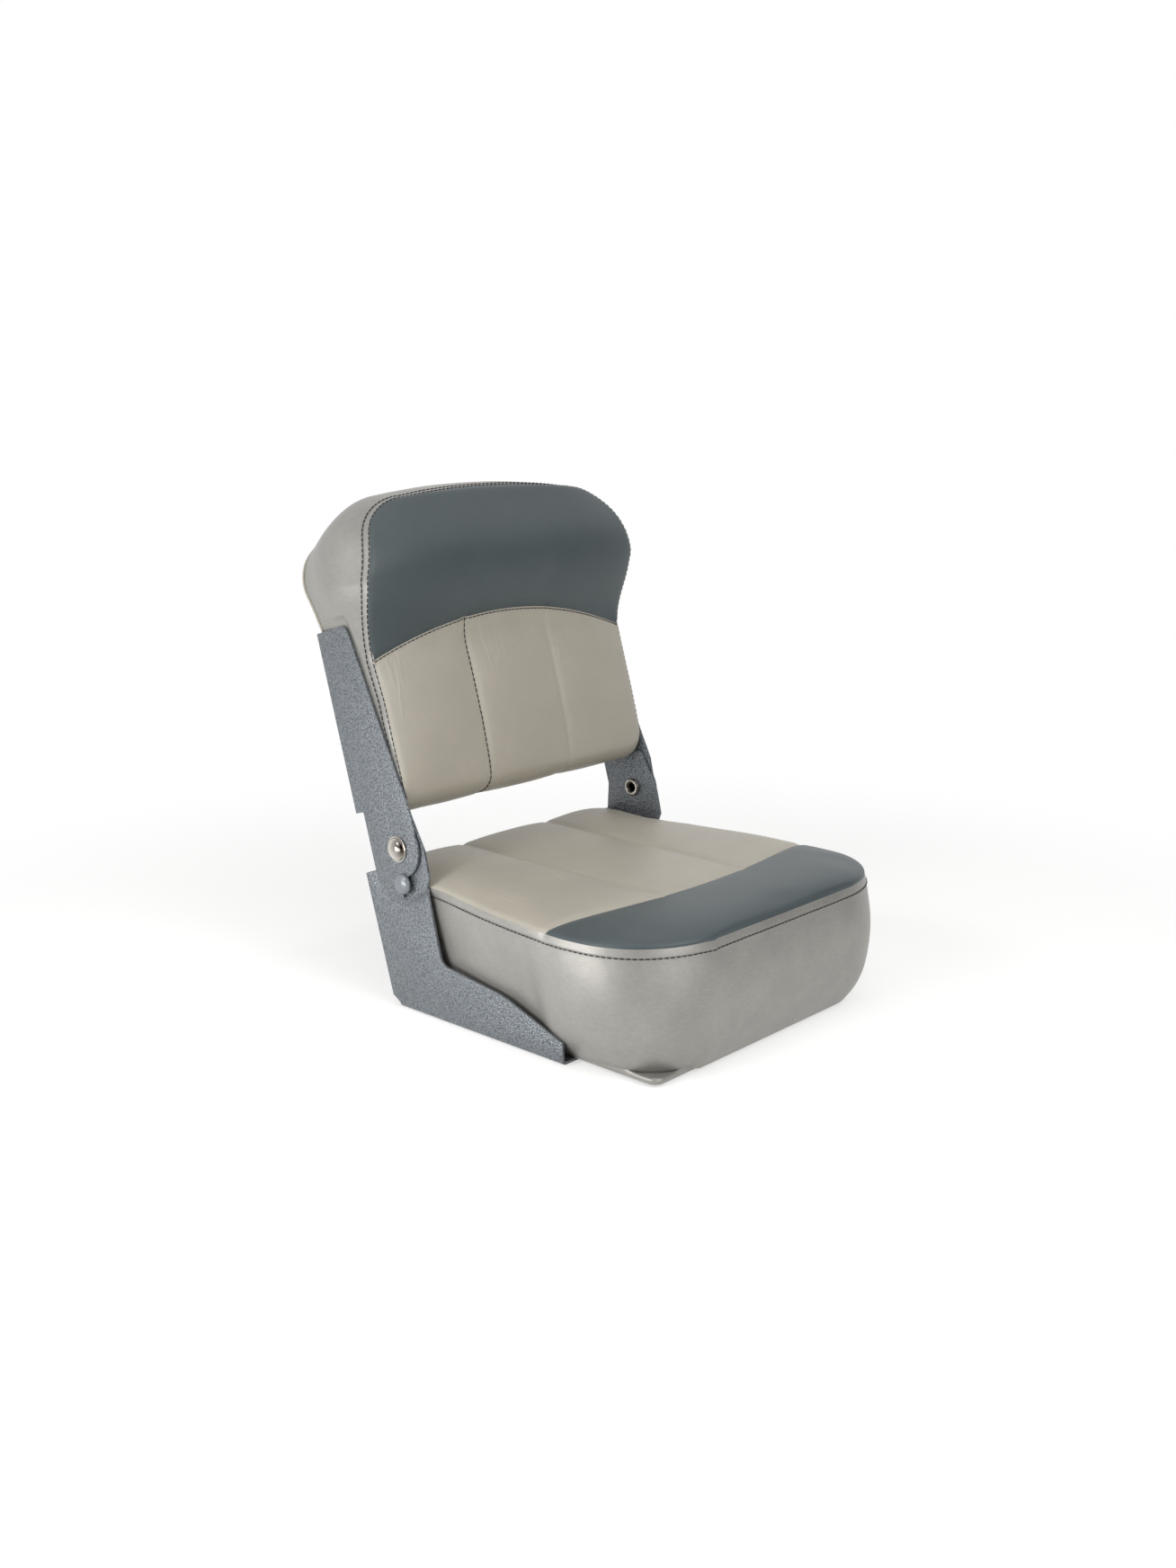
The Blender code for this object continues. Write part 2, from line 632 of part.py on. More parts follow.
def grid_shell(front, back):
    """A sheet between two grids of points."""
    bm = bmesh.new()
    grids = [[[bm.verts.new(point) for point in row] for row in grid] for grid in (front, back)]
    loop = rim(*np.shape(front)[:2])
    edges = [[grid[j][i] for j, i in loop] for grid in grids]
    add_grid_faces(bm, grids[0])
    add_grid_faces(bm, grids[1])
    add_loop_faces(bm, *edges, True)
    return bm


def loop_shell(outer, inner, closed):
    """A strip between two stacks of loops: each stack is level by level, each level a run of points."""
    bm = bmesh.new()
    stacks = [[[bm.verts.new(point) for point in level] for level in stack] for stack in (outer, inner)]
    for stack in stacks:
        for upper, lower in zip(stack, stack[1:]):
            add_loop_faces(bm, upper, lower, closed)
    for level in (0, -1):
        add_loop_faces(bm, stacks[0][level], stacks[1][level], closed)
    if not closed:
        for k in (0, -1):
            for level in range(len(outer) - 1):
                edge = (stacks[0][level][k], stacks[0][level + 1][k])
                bm.faces.new((*edge, stacks[1][level + 1][k], stacks[1][level][k]))
    return bm


def filled_solid(front, levels, back):
    """A closed block: a front grid, the loops of its sides, and a back grid."""
    bm = bmesh.new()
    first = [[bm.verts.new(point) for point in row] for row in front]
    last = [[bm.verts.new(point) for point in row] for row in back]
    add_grid_faces(bm, first)
    add_grid_faces(bm, last)
    loop = rim(*np.shape(front)[:2])
    rings = [[first[j][i] for j, i in loop]]
    rings += [[bm.verts.new(point) for point in level] for level in levels]
    rings.append([last[j][i] for j, i in loop])
    for ring, other in zip(rings, rings[1:]):
        add_loop_faces(bm, ring, other, True)
    return bm


def columns(half, channel):
    """Places across a cushion with sewn channels: closer together near the outer seam."""
    side = [channel + (half - channel) * share for share in (0.3, 0.62, 0.88, 1.0)]
    middle = [channel * share for share in (-1.0, -0.5, 0.0, 0.5, 1.0)]
    return [-x for x in side[::-1]] + middle + side


def channel_crown(x, half, channel):
    """How full a channel is at x: 0 on its seams, 1 half way between them."""
    if abs(x) <= channel:
        return 1 - (x / channel) ** 2
    middle = (channel + half) / 2
    return 1 - ((abs(x) - middle) / (half - middle)) ** 2


def bowed(x, half, end, middle):
    """A row's place at x, where the row bows from its ends to its middle."""
    return middle + (end - middle) * (x / half) ** 2


SEAT_TURNS = (0, 24, 47, 69, 90)
SEAT_BAND_ROWS = 5
SEAT_ROWS = 13
SKIRT_ROW = 6
SIDE_SHARES = (0.2, 0.5, 0.8, 0.94)


def seat_half(y):
    """Half the seat's width at its seam: full in front, and squeezed between the ears."""
    narrow = EAR_INNER - EAR_CLEAR
    ears = PIVOT_Y - JOGGLE_R + JOGGLE_STEP / 3
    share = min(max((ears - y) / (ears - (PIVOT_Y + SEAT_FRONT + SEAT_CORNER)), 0.0), 1.0)
    return narrow + (SEAT_HALF - narrow) * math.sin(math.pi / 2 * share)


def seat_row(j, foot, corner):
    """Row j of the seat's grid, front to rear, as (half width, y at its ends, y at its middle)."""
    front = PIVOT_Y + (SEAT_FOOT_FRONT if foot else SEAT_FRONT)
    full = SEAT_HALF
    if foot:
        full = SKIRT_HALF if j <= SKIRT_ROW else SEAT_FOOT_HALF
    rear = PIVOT_Y + SEAT_REAR
    if foot:
        rear = rear_point(0, -STEEL)[0] + CUSHION_Z * math.tan(REAR_LEAN) - EAR_CLEAR
    band_centre, band_edge = PIVOT_Y + SEAT_BAND_CENTRE, PIVOT_Y + SEAT_BAND_EDGE
    if j < SEAT_BAND_ROWS:
        turn = math.radians(SEAT_TURNS[j])
        middle = front + (band_centre - front) * (j / SEAT_BAND_ROWS) ** 1.4
        return full - corner + corner * math.sin(turn), front + corner * (1 - math.cos(turn)), middle
    share = (j - SEAT_BAND_ROWS) / (SEAT_ROWS - SEAT_BAND_ROWS)
    end = band_edge + (rear - band_edge) * share
    middle = band_centre + (rear - band_centre) * share
    half = full if foot else seat_half(end)
    if j == SEAT_ROWS:
        return half - SEAT_REAR_CORNER, end, middle
    if j == SEAT_ROWS - 1:
        return half, rear - SEAT_REAR_CORNER, rear - SEAT_REAR_CORNER
    return half, end, middle


def seat_height(x, half, j):
    """Height of the seat's top: a low pillow with a crown in each channel and in the front band."""
    band = j / SEAT_BAND_ROWS
    run = j / SEAT_ROWS
    edge = (1 - (x / half) ** 6) * (1 - (2 * run - 1) ** 8)
    pillow = SEAT_PILLOW * max(edge, 0.0) ** 0.6
    if j <= SEAT_BAND_ROWS:
        crown = (1 - (2 * band - 1) ** 2) * (1 - (x / half) ** 4)
    else:
        crown = channel_crown(x, half, SEAT_CHANNEL) * smooth((j - SEAT_BAND_ROWS) / 2)
        crown *= 1 if j < SEAT_ROWS else 0.6
    return SEAT_SEAM_Z + pillow + SEAT_CROWN * crown


def seat_top():
    grid = []
    for j in range(SEAT_ROWS + 1):
        half, end, middle = seat_row(j, False, SEAT_CORNER)
        across = columns(half, SEAT_CHANNEL)
        grid.append([(x, bowed(x, half, end, middle), seat_height(x, half, j)) for x in across])
    return np.array(grid)


def seat_foot(corner):
    grid = []
    for j in range(SEAT_ROWS + 1):
        half, end, middle = seat_row(j, True, corner)
        grid.append([(x, bowed(x, half, end, middle), CUSHION_Z) for x in columns(half, SEAT_CHANNEL)])
    return np.array(grid)


def flat_normals(points, up):
    """Outward directions round a closed loop, square to the loop and to up."""
    ahead = np.roll(points, -1, axis=0) - np.roll(points, 1, axis=0)
    out = np.cross(ahead, up)
    return out / np.linalg.norm(out, axis=1)[:, None]


def seat_sides(top, foot):
    """The boxing's outer loops from seam to foot: full in front, where it is drawn down to the board's edge,
    and flat where the side plates stand. Its corners stay round until close to the board."""
    loop = rim(*top.shape[:2])
    upper = np.array([top[j, i] for j, i in loop])
    lower = np.array([foot[j, i] for j, i in loop])
    drawn = lower - np.array([seat_foot(SEAT_FOOT_CORNER)[j, i] for j, i in loop])
    for k, (j, i) in enumerate(loop):
        if j < SKIRT_ROW:
            lift = 1 if j else smooth((abs(lower[k, 0]) - SKIRT_FLAT) / SKIRT_EASE)
            lower[k, 2] = WRAP_Z + SKIRT_LIFT * lift
    out = flat_normals(upper, (0, 0, 1))
    swell = np.array([smooth((PIVOT_Y + PLATE_FRONT + 0.05 - y) / 0.07) for y in upper[:, 1]])
    levels = [upper]
    for share in SIDE_SHARES:
        full = 1 - abs(2 * share**SEAT_BULGE_LOW - 1) ** 2.4
        level = upper + (lower - upper) * share - drawn * (share - share**CORNER_DRAW)
        levels.append(level + out * (SEAT_BULGE * full * swell)[:, None])
    return levels + [lower], out


def panels(grid, seams, names, materials, back_offset, parent):
    """Cover panels cut from one grid: each is a block of rows and columns, drawn in by half a seam gap."""
    for name, material, (row_a, row_b), (col_a, col_b) in zip(names, materials, *seams):
        block = grid[row_a : row_b + 1, col_a : col_b + 1].copy()
        across = block[:, -1] - block[:, 0]
        across /= np.linalg.norm(across, axis=1)[:, None]
        block[:, 0] += across * SEAM / 2
        block[:, -1] -= across * SEAM / 2
        for end, inside in ((0, 1), (-1, -2)):
            inward = block[inside] - block[end]
            block[end] += inward / np.linalg.norm(inward, axis=1)[:, None] * SEAM / 2
        place(name, grid_shell(block, block - back_offset(block) * VINYL), material, parent, True)


def grid_normals(grid):
    """Directions square to a grid's surface, towards its front."""
    down = np.gradient(grid, axis=0)
    along = np.gradient(grid, axis=1)
    normal = np.cross(along, down)
    return normal / np.linalg.norm(normal, axis=2)[:, :, None]


def seat_cushion(foam, beige, slate, silver, parent):
    top, foot = seat_top(), seat_foot(SKIRT_CORNER)
    sides, out = seat_sides(top, foot)
    skin = VINYL + FIT
    last = len(columns(1.0, SEAT_CHANNEL)) - 1
    left, right = 4, last - 4
    rows = (SEAT_BAND_ROWS, SEAT_ROWS)
    panels(
        top,
        (((0, SEAT_BAND_ROWS), rows, rows, rows), ((0, last), (0, left), (left, right), (right, last))),
        ("seat_front_band", "seat_panel_left", "seat_panel_centre", "seat_panel_right"),
        (slate, beige, beige, beige),
        lambda block: np.broadcast_to((0.0, 0.0, 1.0), block.shape),
        parent,
    )
    outer = [level.copy() for level in sides]
    outer[0][:, 2] -= skin
    inner = [level - out * VINYL for level in outer]
    place("seat_boxing", loop_shell(outer, inner, True), silver, parent, True)
    core_top = top.copy()
    core_top[:, :, 2] -= skin
    core_foot = foot.copy()
    for k, (j, i) in enumerate(rim(*top.shape[:2])):
        core_top[j, i] -= out[k] * skin
        core_foot[j, i] -= out[k] * skin
    core_sides = [level - out * skin for level in sides[1:-1]]
    place("seat_foam", filled_solid(core_top, core_sides, core_foot), foam, parent, True)


BACK_BAND_ROW = 7
BACK_ARM_ROW = 9
BACK_NECK_ROW = 12
BACK_ROWS = 15
HEAD_TURNS = (35, 64, 90)


def back_half(z):
    """Half the back's width at its front seam: close between the ears, and flared round the head."""
    flare = smooth((z - HEAD_FLARE_FROM) / (HEAD_FLARE_TO - HEAD_FLARE_FROM))
    return BACK_HALF + (HEAD_HALF - BACK_HALF) * flare


def back_face(z):
    """The front seam's y at a height: straight below, forward round the bolster, rolled back at its top."""
    forward = BOLSTER * smooth((z - BOLSTER_FROM) / (BOLSTER_TO - BOLSTER_FROM))
    return BACK_FACE - forward + HEAD_ROLL * smooth((z - HEAD_ROLL_FROM) / (HEAD_TOP - HEAD_ROLL_FROM))


def back_row(j):
    """Row j of the back's front, from under the cushion to its top, as (half width, y, end z, middle z)."""
    roll_z = BACK_UNDER + BACK_ROLL
    narrow = EAR_INNER - EAR_CLEAR
    if j < 2:
        z = BACK_UNDER + BACK_DRAFT * (2 - j)
        return narrow, BACK_FOAM_Y - 2 * FIT - BACK_ROLL * j, z, z
    if j < 5:
        turn = math.radians((0, 45, 90)[j - 2])
        z = roll_z - BACK_ROLL * math.cos(turn)
        return (narrow, narrow, BACK_HALF)[j - 2], BACK_FACE + BACK_ROLL * (1 - math.sin(turn)), z, z
    if j <= BACK_BAND_ROW:
        share = (j - 4) / (BACK_BAND_ROW - 4)
        end = roll_z + (BAND_EDGE - roll_z) * share
        return back_half(end), back_face(end), end, roll_z + (BAND_CENTRE - roll_z) * share
    over = ARM_TOP + ARM_SHADE
    neck = HEAD_TOP - HEAD_CORNER
    if j <= BACK_NECK_ROW:
        share = (j - BACK_BAND_ROW) / (BACK_NECK_ROW - BACK_BAND_ROW)
        end = BAND_EDGE + (over - BAND_EDGE) * (j - BACK_BAND_ROW) / (BACK_ARM_ROW - BACK_BAND_ROW)
        if j > BACK_ARM_ROW:
            end = over + (neck - over) * ((j - BACK_ARM_ROW) / (BACK_NECK_ROW - BACK_ARM_ROW)) ** 1.3
        return back_half(end), back_face(end), end, BAND_CENTRE + (neck - BAND_CENTRE) * share
    turn = math.radians(HEAD_TURNS[j - BACK_NECK_ROW - 1])
    end = neck + HEAD_CORNER * math.sin(turn)
    half = HEAD_HALF - HEAD_CORNER * (1 - math.cos(turn))
    return half, back_face(end), end, neck + (HEAD_TOP + HEAD_ARCH - neck) * math.sin(turn)


def back_depth(x, z, y, half, j):
    """The front's y: crowned channels below the band seam, and a full pillow on the head."""
    if j < 3:
        return y
    if j == 3:
        return y - BACK_CROWN / 3 * channel_crown(x, half, BACK_CHANNEL)
    if j <= BACK_BAND_ROW:
        crown = channel_crown(x, half, BACK_CHANNEL) * (0.5, 0.8, 1.0, 0.3)[j - 4]
        flat = back_face(z) if j == BACK_BAND_ROW else y
        return flat - BACK_PILLOW * (1 - (x / half) ** 4) * (j > 4) - BACK_CROWN * crown
    run = (j - BACK_BAND_ROW) / (BACK_ROWS - BACK_BAND_ROW)
    flat = 1 - (x / half) ** 4
    pillow = max(flat * (1 - (2 * run - 1) ** 4), 0.0) ** 0.7
    return back_face(z) - HEAD_PILLOW * pillow - BACK_PILLOW * flat * (1 - run)


def cover_y(x, z, half):
    """The inner face of the rear cover: flat on the board, full behind the head, tucked in at the top."""
    start = BACK_BOARD_TOP + 2 * FIT
    rise = smooth((z - start) / BACK_ROLL)
    full = rise * (1 - (x / half) ** 4) * (1 - ((z - start) / (BACK_REAR_TOP + HEAD_ARCH - start)) ** 4)
    neck = BACK_REAR_TOP - BACK_REAR_CORNER
    tuck = HEAD_TUCK * smooth((z - neck) / BACK_REAR_CORNER)
    return BACK_COVER_Y - VINYL + (HEAD_REAR - BACK_COVER_Y) * rise + HEAD_FULL * max(full, 0.0) - tuck


def rear_rows(grow):
    """Rows of the back's rear outline, bottom to top, as (half width, end z, middle z)."""
    neck = BACK_REAR_TOP - BACK_REAR_CORNER
    step = BACK_BOARD_TOP + 2 * FIT
    low = BACK_UNDER + BACK_ROLL / 2
    rows = [low + (BAND_EDGE - low) * (j / BACK_BAND_ROW) ** 1.5 for j in range(BACK_BAND_ROW + 1)]
    rows += [(BAND_EDGE + step) / 2, step, step + 0.008, (step + neck) / 2 + 0.004, neck]
    placed = [(BACK_REAR_HALF + HEAD_SPREAD * smooth((z - step) / BACK_ROLL) + grow, z, z) for z in rows]
    for degrees in HEAD_TURNS:
        turn = math.radians(degrees)
        half = BACK_REAR_HALF + HEAD_SPREAD + grow - BACK_REAR_CORNER * (1 - math.cos(turn))
        end = neck + (BACK_REAR_CORNER + grow) * math.sin(turn)
        placed.append((half, end, end + HEAD_ARCH * math.sin(turn)))
    return placed


def back_grids():
    face, rear = [], []
    for j in range(BACK_ROWS + 1):
        half, y, end, middle = back_row(j)
        row = []
        for x in columns(half, BACK_CHANNEL):
            z = bowed(x, half, end, middle)
            if 0 < j < 4:
                z -= BACK_CROWN / 4 * channel_crown(x, half, BACK_CHANNEL)
            row.append((x, back_depth(x, z, y, half, j), z))
        face.append(row)
        half, end, middle = rear_rows(0)[j]
        row = []
        for x in columns(half, BACK_CHANNEL):
            z = bowed(x, half, end, middle)
            row.append((x, cover_y(x, z, half) - FIT, z))
        rear.append(row)
    return np.array(face), np.array(rear)


def back_out(j, i, last):
    """The outward direction of the back's boxing at a place on the grid's edge."""
    if j <= BACK_NECK_ROW:
        return (-1.0 if i == 0 else 1.0), 0.0, 0.0
    if 0 < i < last:
        return 0.0, 0.0, 1.0
    turn = math.radians(HEAD_TURNS[j - BACK_NECK_ROW - 1])
    return math.cos(turn) * (-1 if i == 0 else 1), 0.0, math.sin(turn)


def back_cushion(ply, foam, beige, slate, silver, parent):
    face, rear = back_grids()
    skin = VINYL + FIT
    last = face.shape[1] - 1
    left, right = 4, last - 4
    rows = (0, BACK_BAND_ROW)
    head = (BACK_BAND_ROW, BACK_ROWS)
    panels(
        face,
        ((rows, rows, rows, head), ((0, left), (left, right), (right, last), (0, last))),
        ("back_panel_left", "back_panel_centre", "back_panel_right", "back_head_panel"),
        (beige, beige, beige, slate),
        grid_normals,
        parent,
    )
    normal = grid_normals(face)
    strip = rim(*face.shape[:2])
    strip = strip[last:] + strip[:1]
    fronts = np.array([face[j, i] - normal[j, i] * skin for j, i in strip])
    rears = np.array([rear[j, i] for j, i in strip])
    out = np.array([back_out(j, i, last) for j, i in strip])
    over = ARM_TOP + ARM_SHADE
    limit = ARM_INNER - 2 * FIT
    levels = [fronts]
    for step in (0.5, 1.0, 1.5):
        level = []
        for (j, i), front, behind, away in zip(strip, fronts, rears, out):
            waist = (arm_front(front[2]) - ARM_SHADE - front[1]) / (behind[1] - front[1])
            waist = min(max(waist, 0.25), 0.6)
            share = waist * step if step <= 1 else waist + (1 - waist) * (step - 1)
            bulge = HEAD_BULGE + (HEAD_TOP_BULGE - HEAD_BULGE) * away[2]
            swell = bulge * (1 - abs(2 * share - 1) ** 2.2) * smooth((front[2] - over) / HEAD_BULGE_RISE)
            point = front + (behind - front) * share + away * swell
            if j <= BACK_ARM_ROW and step >= 1:
                point[0] = min(max(point[0], -limit), limit)
            level.append(point)
        levels.append(np.array(level))
    levels.append(rears)
    inner = [level - out * VINYL for level in levels]
    place("back_boxing", loop_shell(levels, inner, False), silver, parent, True)

    core_face = face - normal * skin
    core_rear = rear.copy()
    core_rear[: BACK_ARM_ROW + 1, :, 1] = BACK_FOAM_Y
    whole = rim(*face.shape[:2])
    for j, i in whole:
        if j > 0 or i in (0, last):
            core_face[j, i] -= np.array(back_out(j, i, last)) * skin
            core_rear[j, i] -= np.array(back_out(j, i, last)) * skin
    core_levels = []
    places = {at: k for k, at in enumerate(strip)}
    for level in levels[1:-1]:
        ring = []
        for k, (j, i) in enumerate(whole):
            if (j, i) in places:
                at = places[(j, i)]
                ring.append(level[at] - out[at] * skin)
            else:
                ring.append(None)
        core_levels.append(ring)
    for number, ring in enumerate(core_levels):
        share = (number + 1) / (len(core_levels) + 1)
        for k, (j, i) in enumerate(whole):
            if ring[k] is None:
                ring[k] = core_face[j, i] + (core_rear[j, i] - core_face[j, i]) * share
    place("back_foam", filled_solid(core_face, core_levels, core_rear), foam, parent, True)

    cover = []
    for half, end, middle in rear_rows(FIT + VINYL):
        row = []
        for x in columns(half, BACK_CHANNEL):
            z = bowed(x, half, end, middle)
            row.append((x, cover_y(x, z, half), z))
        cover.append(row)
    cover = np.array(cover)
    place("back_rear_cover", grid_shell(cover, cover + np.array((0.0, VINYL, 0.0))), beige, parent, True)

    bm = bmesh.new()
    half = BACK_REAR_HALF - VINYL - 2 * FIT
    low = BACK_UNDER + BACK_ROLL / 2
    corners = [(-half, low, BOARD_CORNER), (half, low, BOARD_CORNER)]
    corners += [(half, BACK_BOARD_TOP, BOARD_CORNER), (-half, BACK_BOARD_TOP, BOARD_CORNER)]
    outline = rounded(corners)
    add_prism(bm, outline, -BACK_BOARD_Y, BACK_BOARD - BACK_BOARD_Y)
    for vert in bm.verts:
        vert.co = (vert.co.x, -vert.co.z, vert.co.y)
    board = place("back_board", bm, ply, parent)
    holes = bmesh.new()
    for x, z in back_screw_places():
        start = PANEL_Y - STEEL - SCREW_LENGTH - FIT
        add_hole(holes, (x, start, z), (x, PANEL_Y, z), SCREW_R + FIT, 12)
    cut(board, holes)
    holes = bmesh.new()
    for x, z in back_screw_places():
        add_hole(holes, (x, BACK_BOARD_Y - STEEL, z), (x, PANEL_Y, z), SCREW_R + FIT, 12)
    cut(bpy.data.objects["back_rear_cover"], holes)


def main():
    clear_scene()
    paint = finish("hammer_paint", (0.16, 0.18, 0.195), 0.42, 0.4)
    chrome = finish("chrome", (0.75, 0.74, 0.72), 0.12, 1.0)
    zinc = finish("zinc_plate", (0.55, 0.55, 0.53), 0.35, 1.0)
    ply = finish("plywood", (0.50, 0.36, 0.22), 0.7)
    foam = finish("foam", (0.75, 0.70, 0.52), 0.95)
    beige = finish("beige_vinyl", (0.37, 0.35, 0.29), 0.5)
    slate = finish("slate_vinyl", (0.09, 0.115, 0.13), 0.5)
    silver = finish("silver_vinyl", (0.36, 0.36, 0.34), 0.4)
    seat = bpy.data.objects.new("seat", None)
    back = bpy.data.objects.new("backrest", None)
    for empty in (seat, back):
        bpy.context.scene.collection.objects.link(empty)
    back.location = (0, PIVOT_Y, PIVOT_Z)
    back.rotation_euler = (-LEAN, 0, 0)
    seat_frame(paint, seat)
    back_frame(paint, back)
    hinge_hardware(chrome, paint, zinc, seat)
    seat_base(ply, silver, zinc, seat)
    screws(zinc, seat, back)
    seat_cushion(foam, beige, slate, silver, seat)
    back_cushion(ply, foam, beige, slate, silver, back)


main()
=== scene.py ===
from math import cos, pi, radians, sin

import bmesh
import bpy
import numpy as np
from mathutils import Euler, Matrix, Vector
from mathutils.bvhtree import BVHTree
from mathutils.kdtree import KDTree


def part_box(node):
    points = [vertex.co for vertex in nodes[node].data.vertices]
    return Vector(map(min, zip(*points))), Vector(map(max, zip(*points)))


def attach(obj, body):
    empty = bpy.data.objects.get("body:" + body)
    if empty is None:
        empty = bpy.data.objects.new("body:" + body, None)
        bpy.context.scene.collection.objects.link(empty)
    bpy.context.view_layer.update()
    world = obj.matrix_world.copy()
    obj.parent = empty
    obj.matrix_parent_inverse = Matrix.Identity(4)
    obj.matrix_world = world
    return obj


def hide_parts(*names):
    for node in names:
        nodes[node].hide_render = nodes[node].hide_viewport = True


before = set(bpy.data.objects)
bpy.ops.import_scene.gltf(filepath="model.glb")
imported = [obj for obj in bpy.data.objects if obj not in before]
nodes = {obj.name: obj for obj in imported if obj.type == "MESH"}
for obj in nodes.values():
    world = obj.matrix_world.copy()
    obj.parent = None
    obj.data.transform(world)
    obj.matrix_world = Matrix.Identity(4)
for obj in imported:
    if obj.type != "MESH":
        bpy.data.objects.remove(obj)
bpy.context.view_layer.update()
bpy.context.scene.view_settings.view_transform = "Standard"

# where the backrest turns, and how far it leans at rest
hinge = {"y": 0.1064, "z": 0.1708, "lean": radians(16.5)}


def hexColour(code):
    parts = [int(code[i:i + 2], 16) / 255 for i in (0, 2, 4)]
    return [p / 12.92 if p <= 0.04045 else ((p + 0.055) / 1.055) ** 2.4 for p in parts] + [1.0]


def join(tree, node, links):
    for name, (other, output) in links.items():
        tree.links.new(other.outputs[output], node.inputs[name])


def addNode(tree, kind, values, links):
    node = tree.nodes.new("ShaderNode" + kind)
    for name, value in values.items():
        if isinstance(name, str) and hasattr(node, name):
            setattr(node, name, value)
        else:
            node.inputs[name].default_value = value
    join(tree, node, links)
    return node


def emptyTree(owner):
    owner.use_nodes = True
    owner.node_tree.nodes.clear()
    return owner.node_tree


def newMaterial(name, shaderValues):
    material = bpy.data.materials.new(name)
    tree = emptyTree(material)
    shader = addNode(tree, "BsdfPrincipled", shaderValues, {})
    addNode(tree, "OutputMaterial", {}, {"Surface": (shader, "BSDF")})
    return material, tree, shader


def addRamp(tree, stops, source, output):
    # colour ramp; its two ends come first in the list of stops
    node = addNode(tree, "ValToRGB", {}, {"Fac": (source, output)})
    spots = node.color_ramp.elements
    for k, (position, code) in enumerate(stops):
        spot = spots[k] if k < 2 else spots.new(position)
        spot.position, spot.color = position, hexColour(code)
    return node


def addBump(tree, strength, distance, height, over=None):
    links = {"Height": height}
    if over:
        links["Normal"] = (over, "Normal")
    return addNode(tree, "Bump", {"Strength": strength, "Distance": distance}, links)


def addNoise(tree, size, detail, source, output="Object", **more):
    values = {"Scale": 1 / size, "Detail": detail, **more}
    return addNode(tree, "TexNoise", values, {"Vector": (source, output)})


def eitherSide(tree, source, middle, spread):
    # a noise turned into values a little either side of a middle one
    values = {"From Min": 0.3, "From Max": 0.7, "To Min": middle - spread, "To Max": middle + spread}
    return addNode(tree, "MapRange", values, {"Value": (source, "Fac")})


print("materials")

# colours as in a paint picker, sizes in m
looks = {
    # the paint's darker colour is painted shade for the pits of the hammer finish
    "paint": "80858a", "paintDark": "5a5f64", "enamel": "7b8085", "thread": "1b1d1f",
    # the chrome's dark face-on colour is a painted reflection
    "chrome": "cfcac2", "chromeDark": "3f3933", "zinc": "b4b6b4", "bore": "2a2724",
    "plyLight": "b9986a", "plyDark": "8d6c45", "plyGrain": 0.006, "twist": 0.0004, "handled": 0.006,
    "hammerCell": 0.0019, "hammerWobble": 0.003, "hammerShift": 0.0022, "hammerDepth": 0.0007,
    "grain": 0.0011, "cloud": 0.05, "fold": 0.03, "foldPatch": 0.11, "streak": 0.006,
    "hem": 0.009, "hemEdge": 0.0025, "hemGroove": 0.0018,
}

# each vinyl: how slack its creases are, spread of tone in clouds and streaks, depth of hem and soft dents
vinyls = {
    "beige_vinyl": {"name": "beige marine vinyl", "colour": "afa99c", "shader": {}, "slack": 0.3,
                    "clouds": 0.04, "streaks": 0.02, "hem": 0.0, "dents": 0.22},
    "slate_vinyl": {"name": "slate marine vinyl", "colour": "424c4f", "shader": {"Roughness": 0.46}, "slack": 0.0,
                    "clouds": 0.04, "streaks": 0.02, "hem": 0.0, "dents": 0.22},
    "silver_vinyl": {"name": "pearl silver vinyl", "colour": "979590", "shader": {"Metallic": 0.42}, "slack": 0.1,
                     "clouds": 0.07, "streaks": 0.07, "hem": 0.5, "dents": 0.4},
}


def hammerPaint():
    # hammer-finish enamel: small glossy dimples, with painted shade darkening the colour in the pits
    material, tree, shader = newMaterial("hammer finish paint", {"Roughness": 0.26, "Metallic": 0.25})
    place = addNode(tree, "TexCoord", {}, {})
    wobble = addNoise(tree, looks["hammerWobble"], 2.0, place)
    moved = addNode(tree, "VectorMath", {"operation": "MULTIPLY_ADD", 1: [looks["hammerShift"]] * 3},
                    {0: (wobble, "Color"), 2: (place, "Object")})
    dimple = {"feature": "SMOOTH_F1", "Scale": 1 / looks["hammerCell"], "Smoothness": 0.6}
    cells = addNode(tree, "TexVoronoi", dimple, {"Vector": (moved, "Vector")})
    # painted shade: the colour turns darker from the dimples' middles towards the pits
    tone = addRamp(tree, [(0.15, looks["paint"]), (0.7, looks["paintDark"])], cells, "Distance")
    dimples = addBump(tree, 0.9, looks["hammerDepth"], (cells, "Distance"))
    dimples.invert = True
    join(tree, shader, {"Base Color": (tone, "Color"), "Normal": (dimples, "Normal")})
    return material


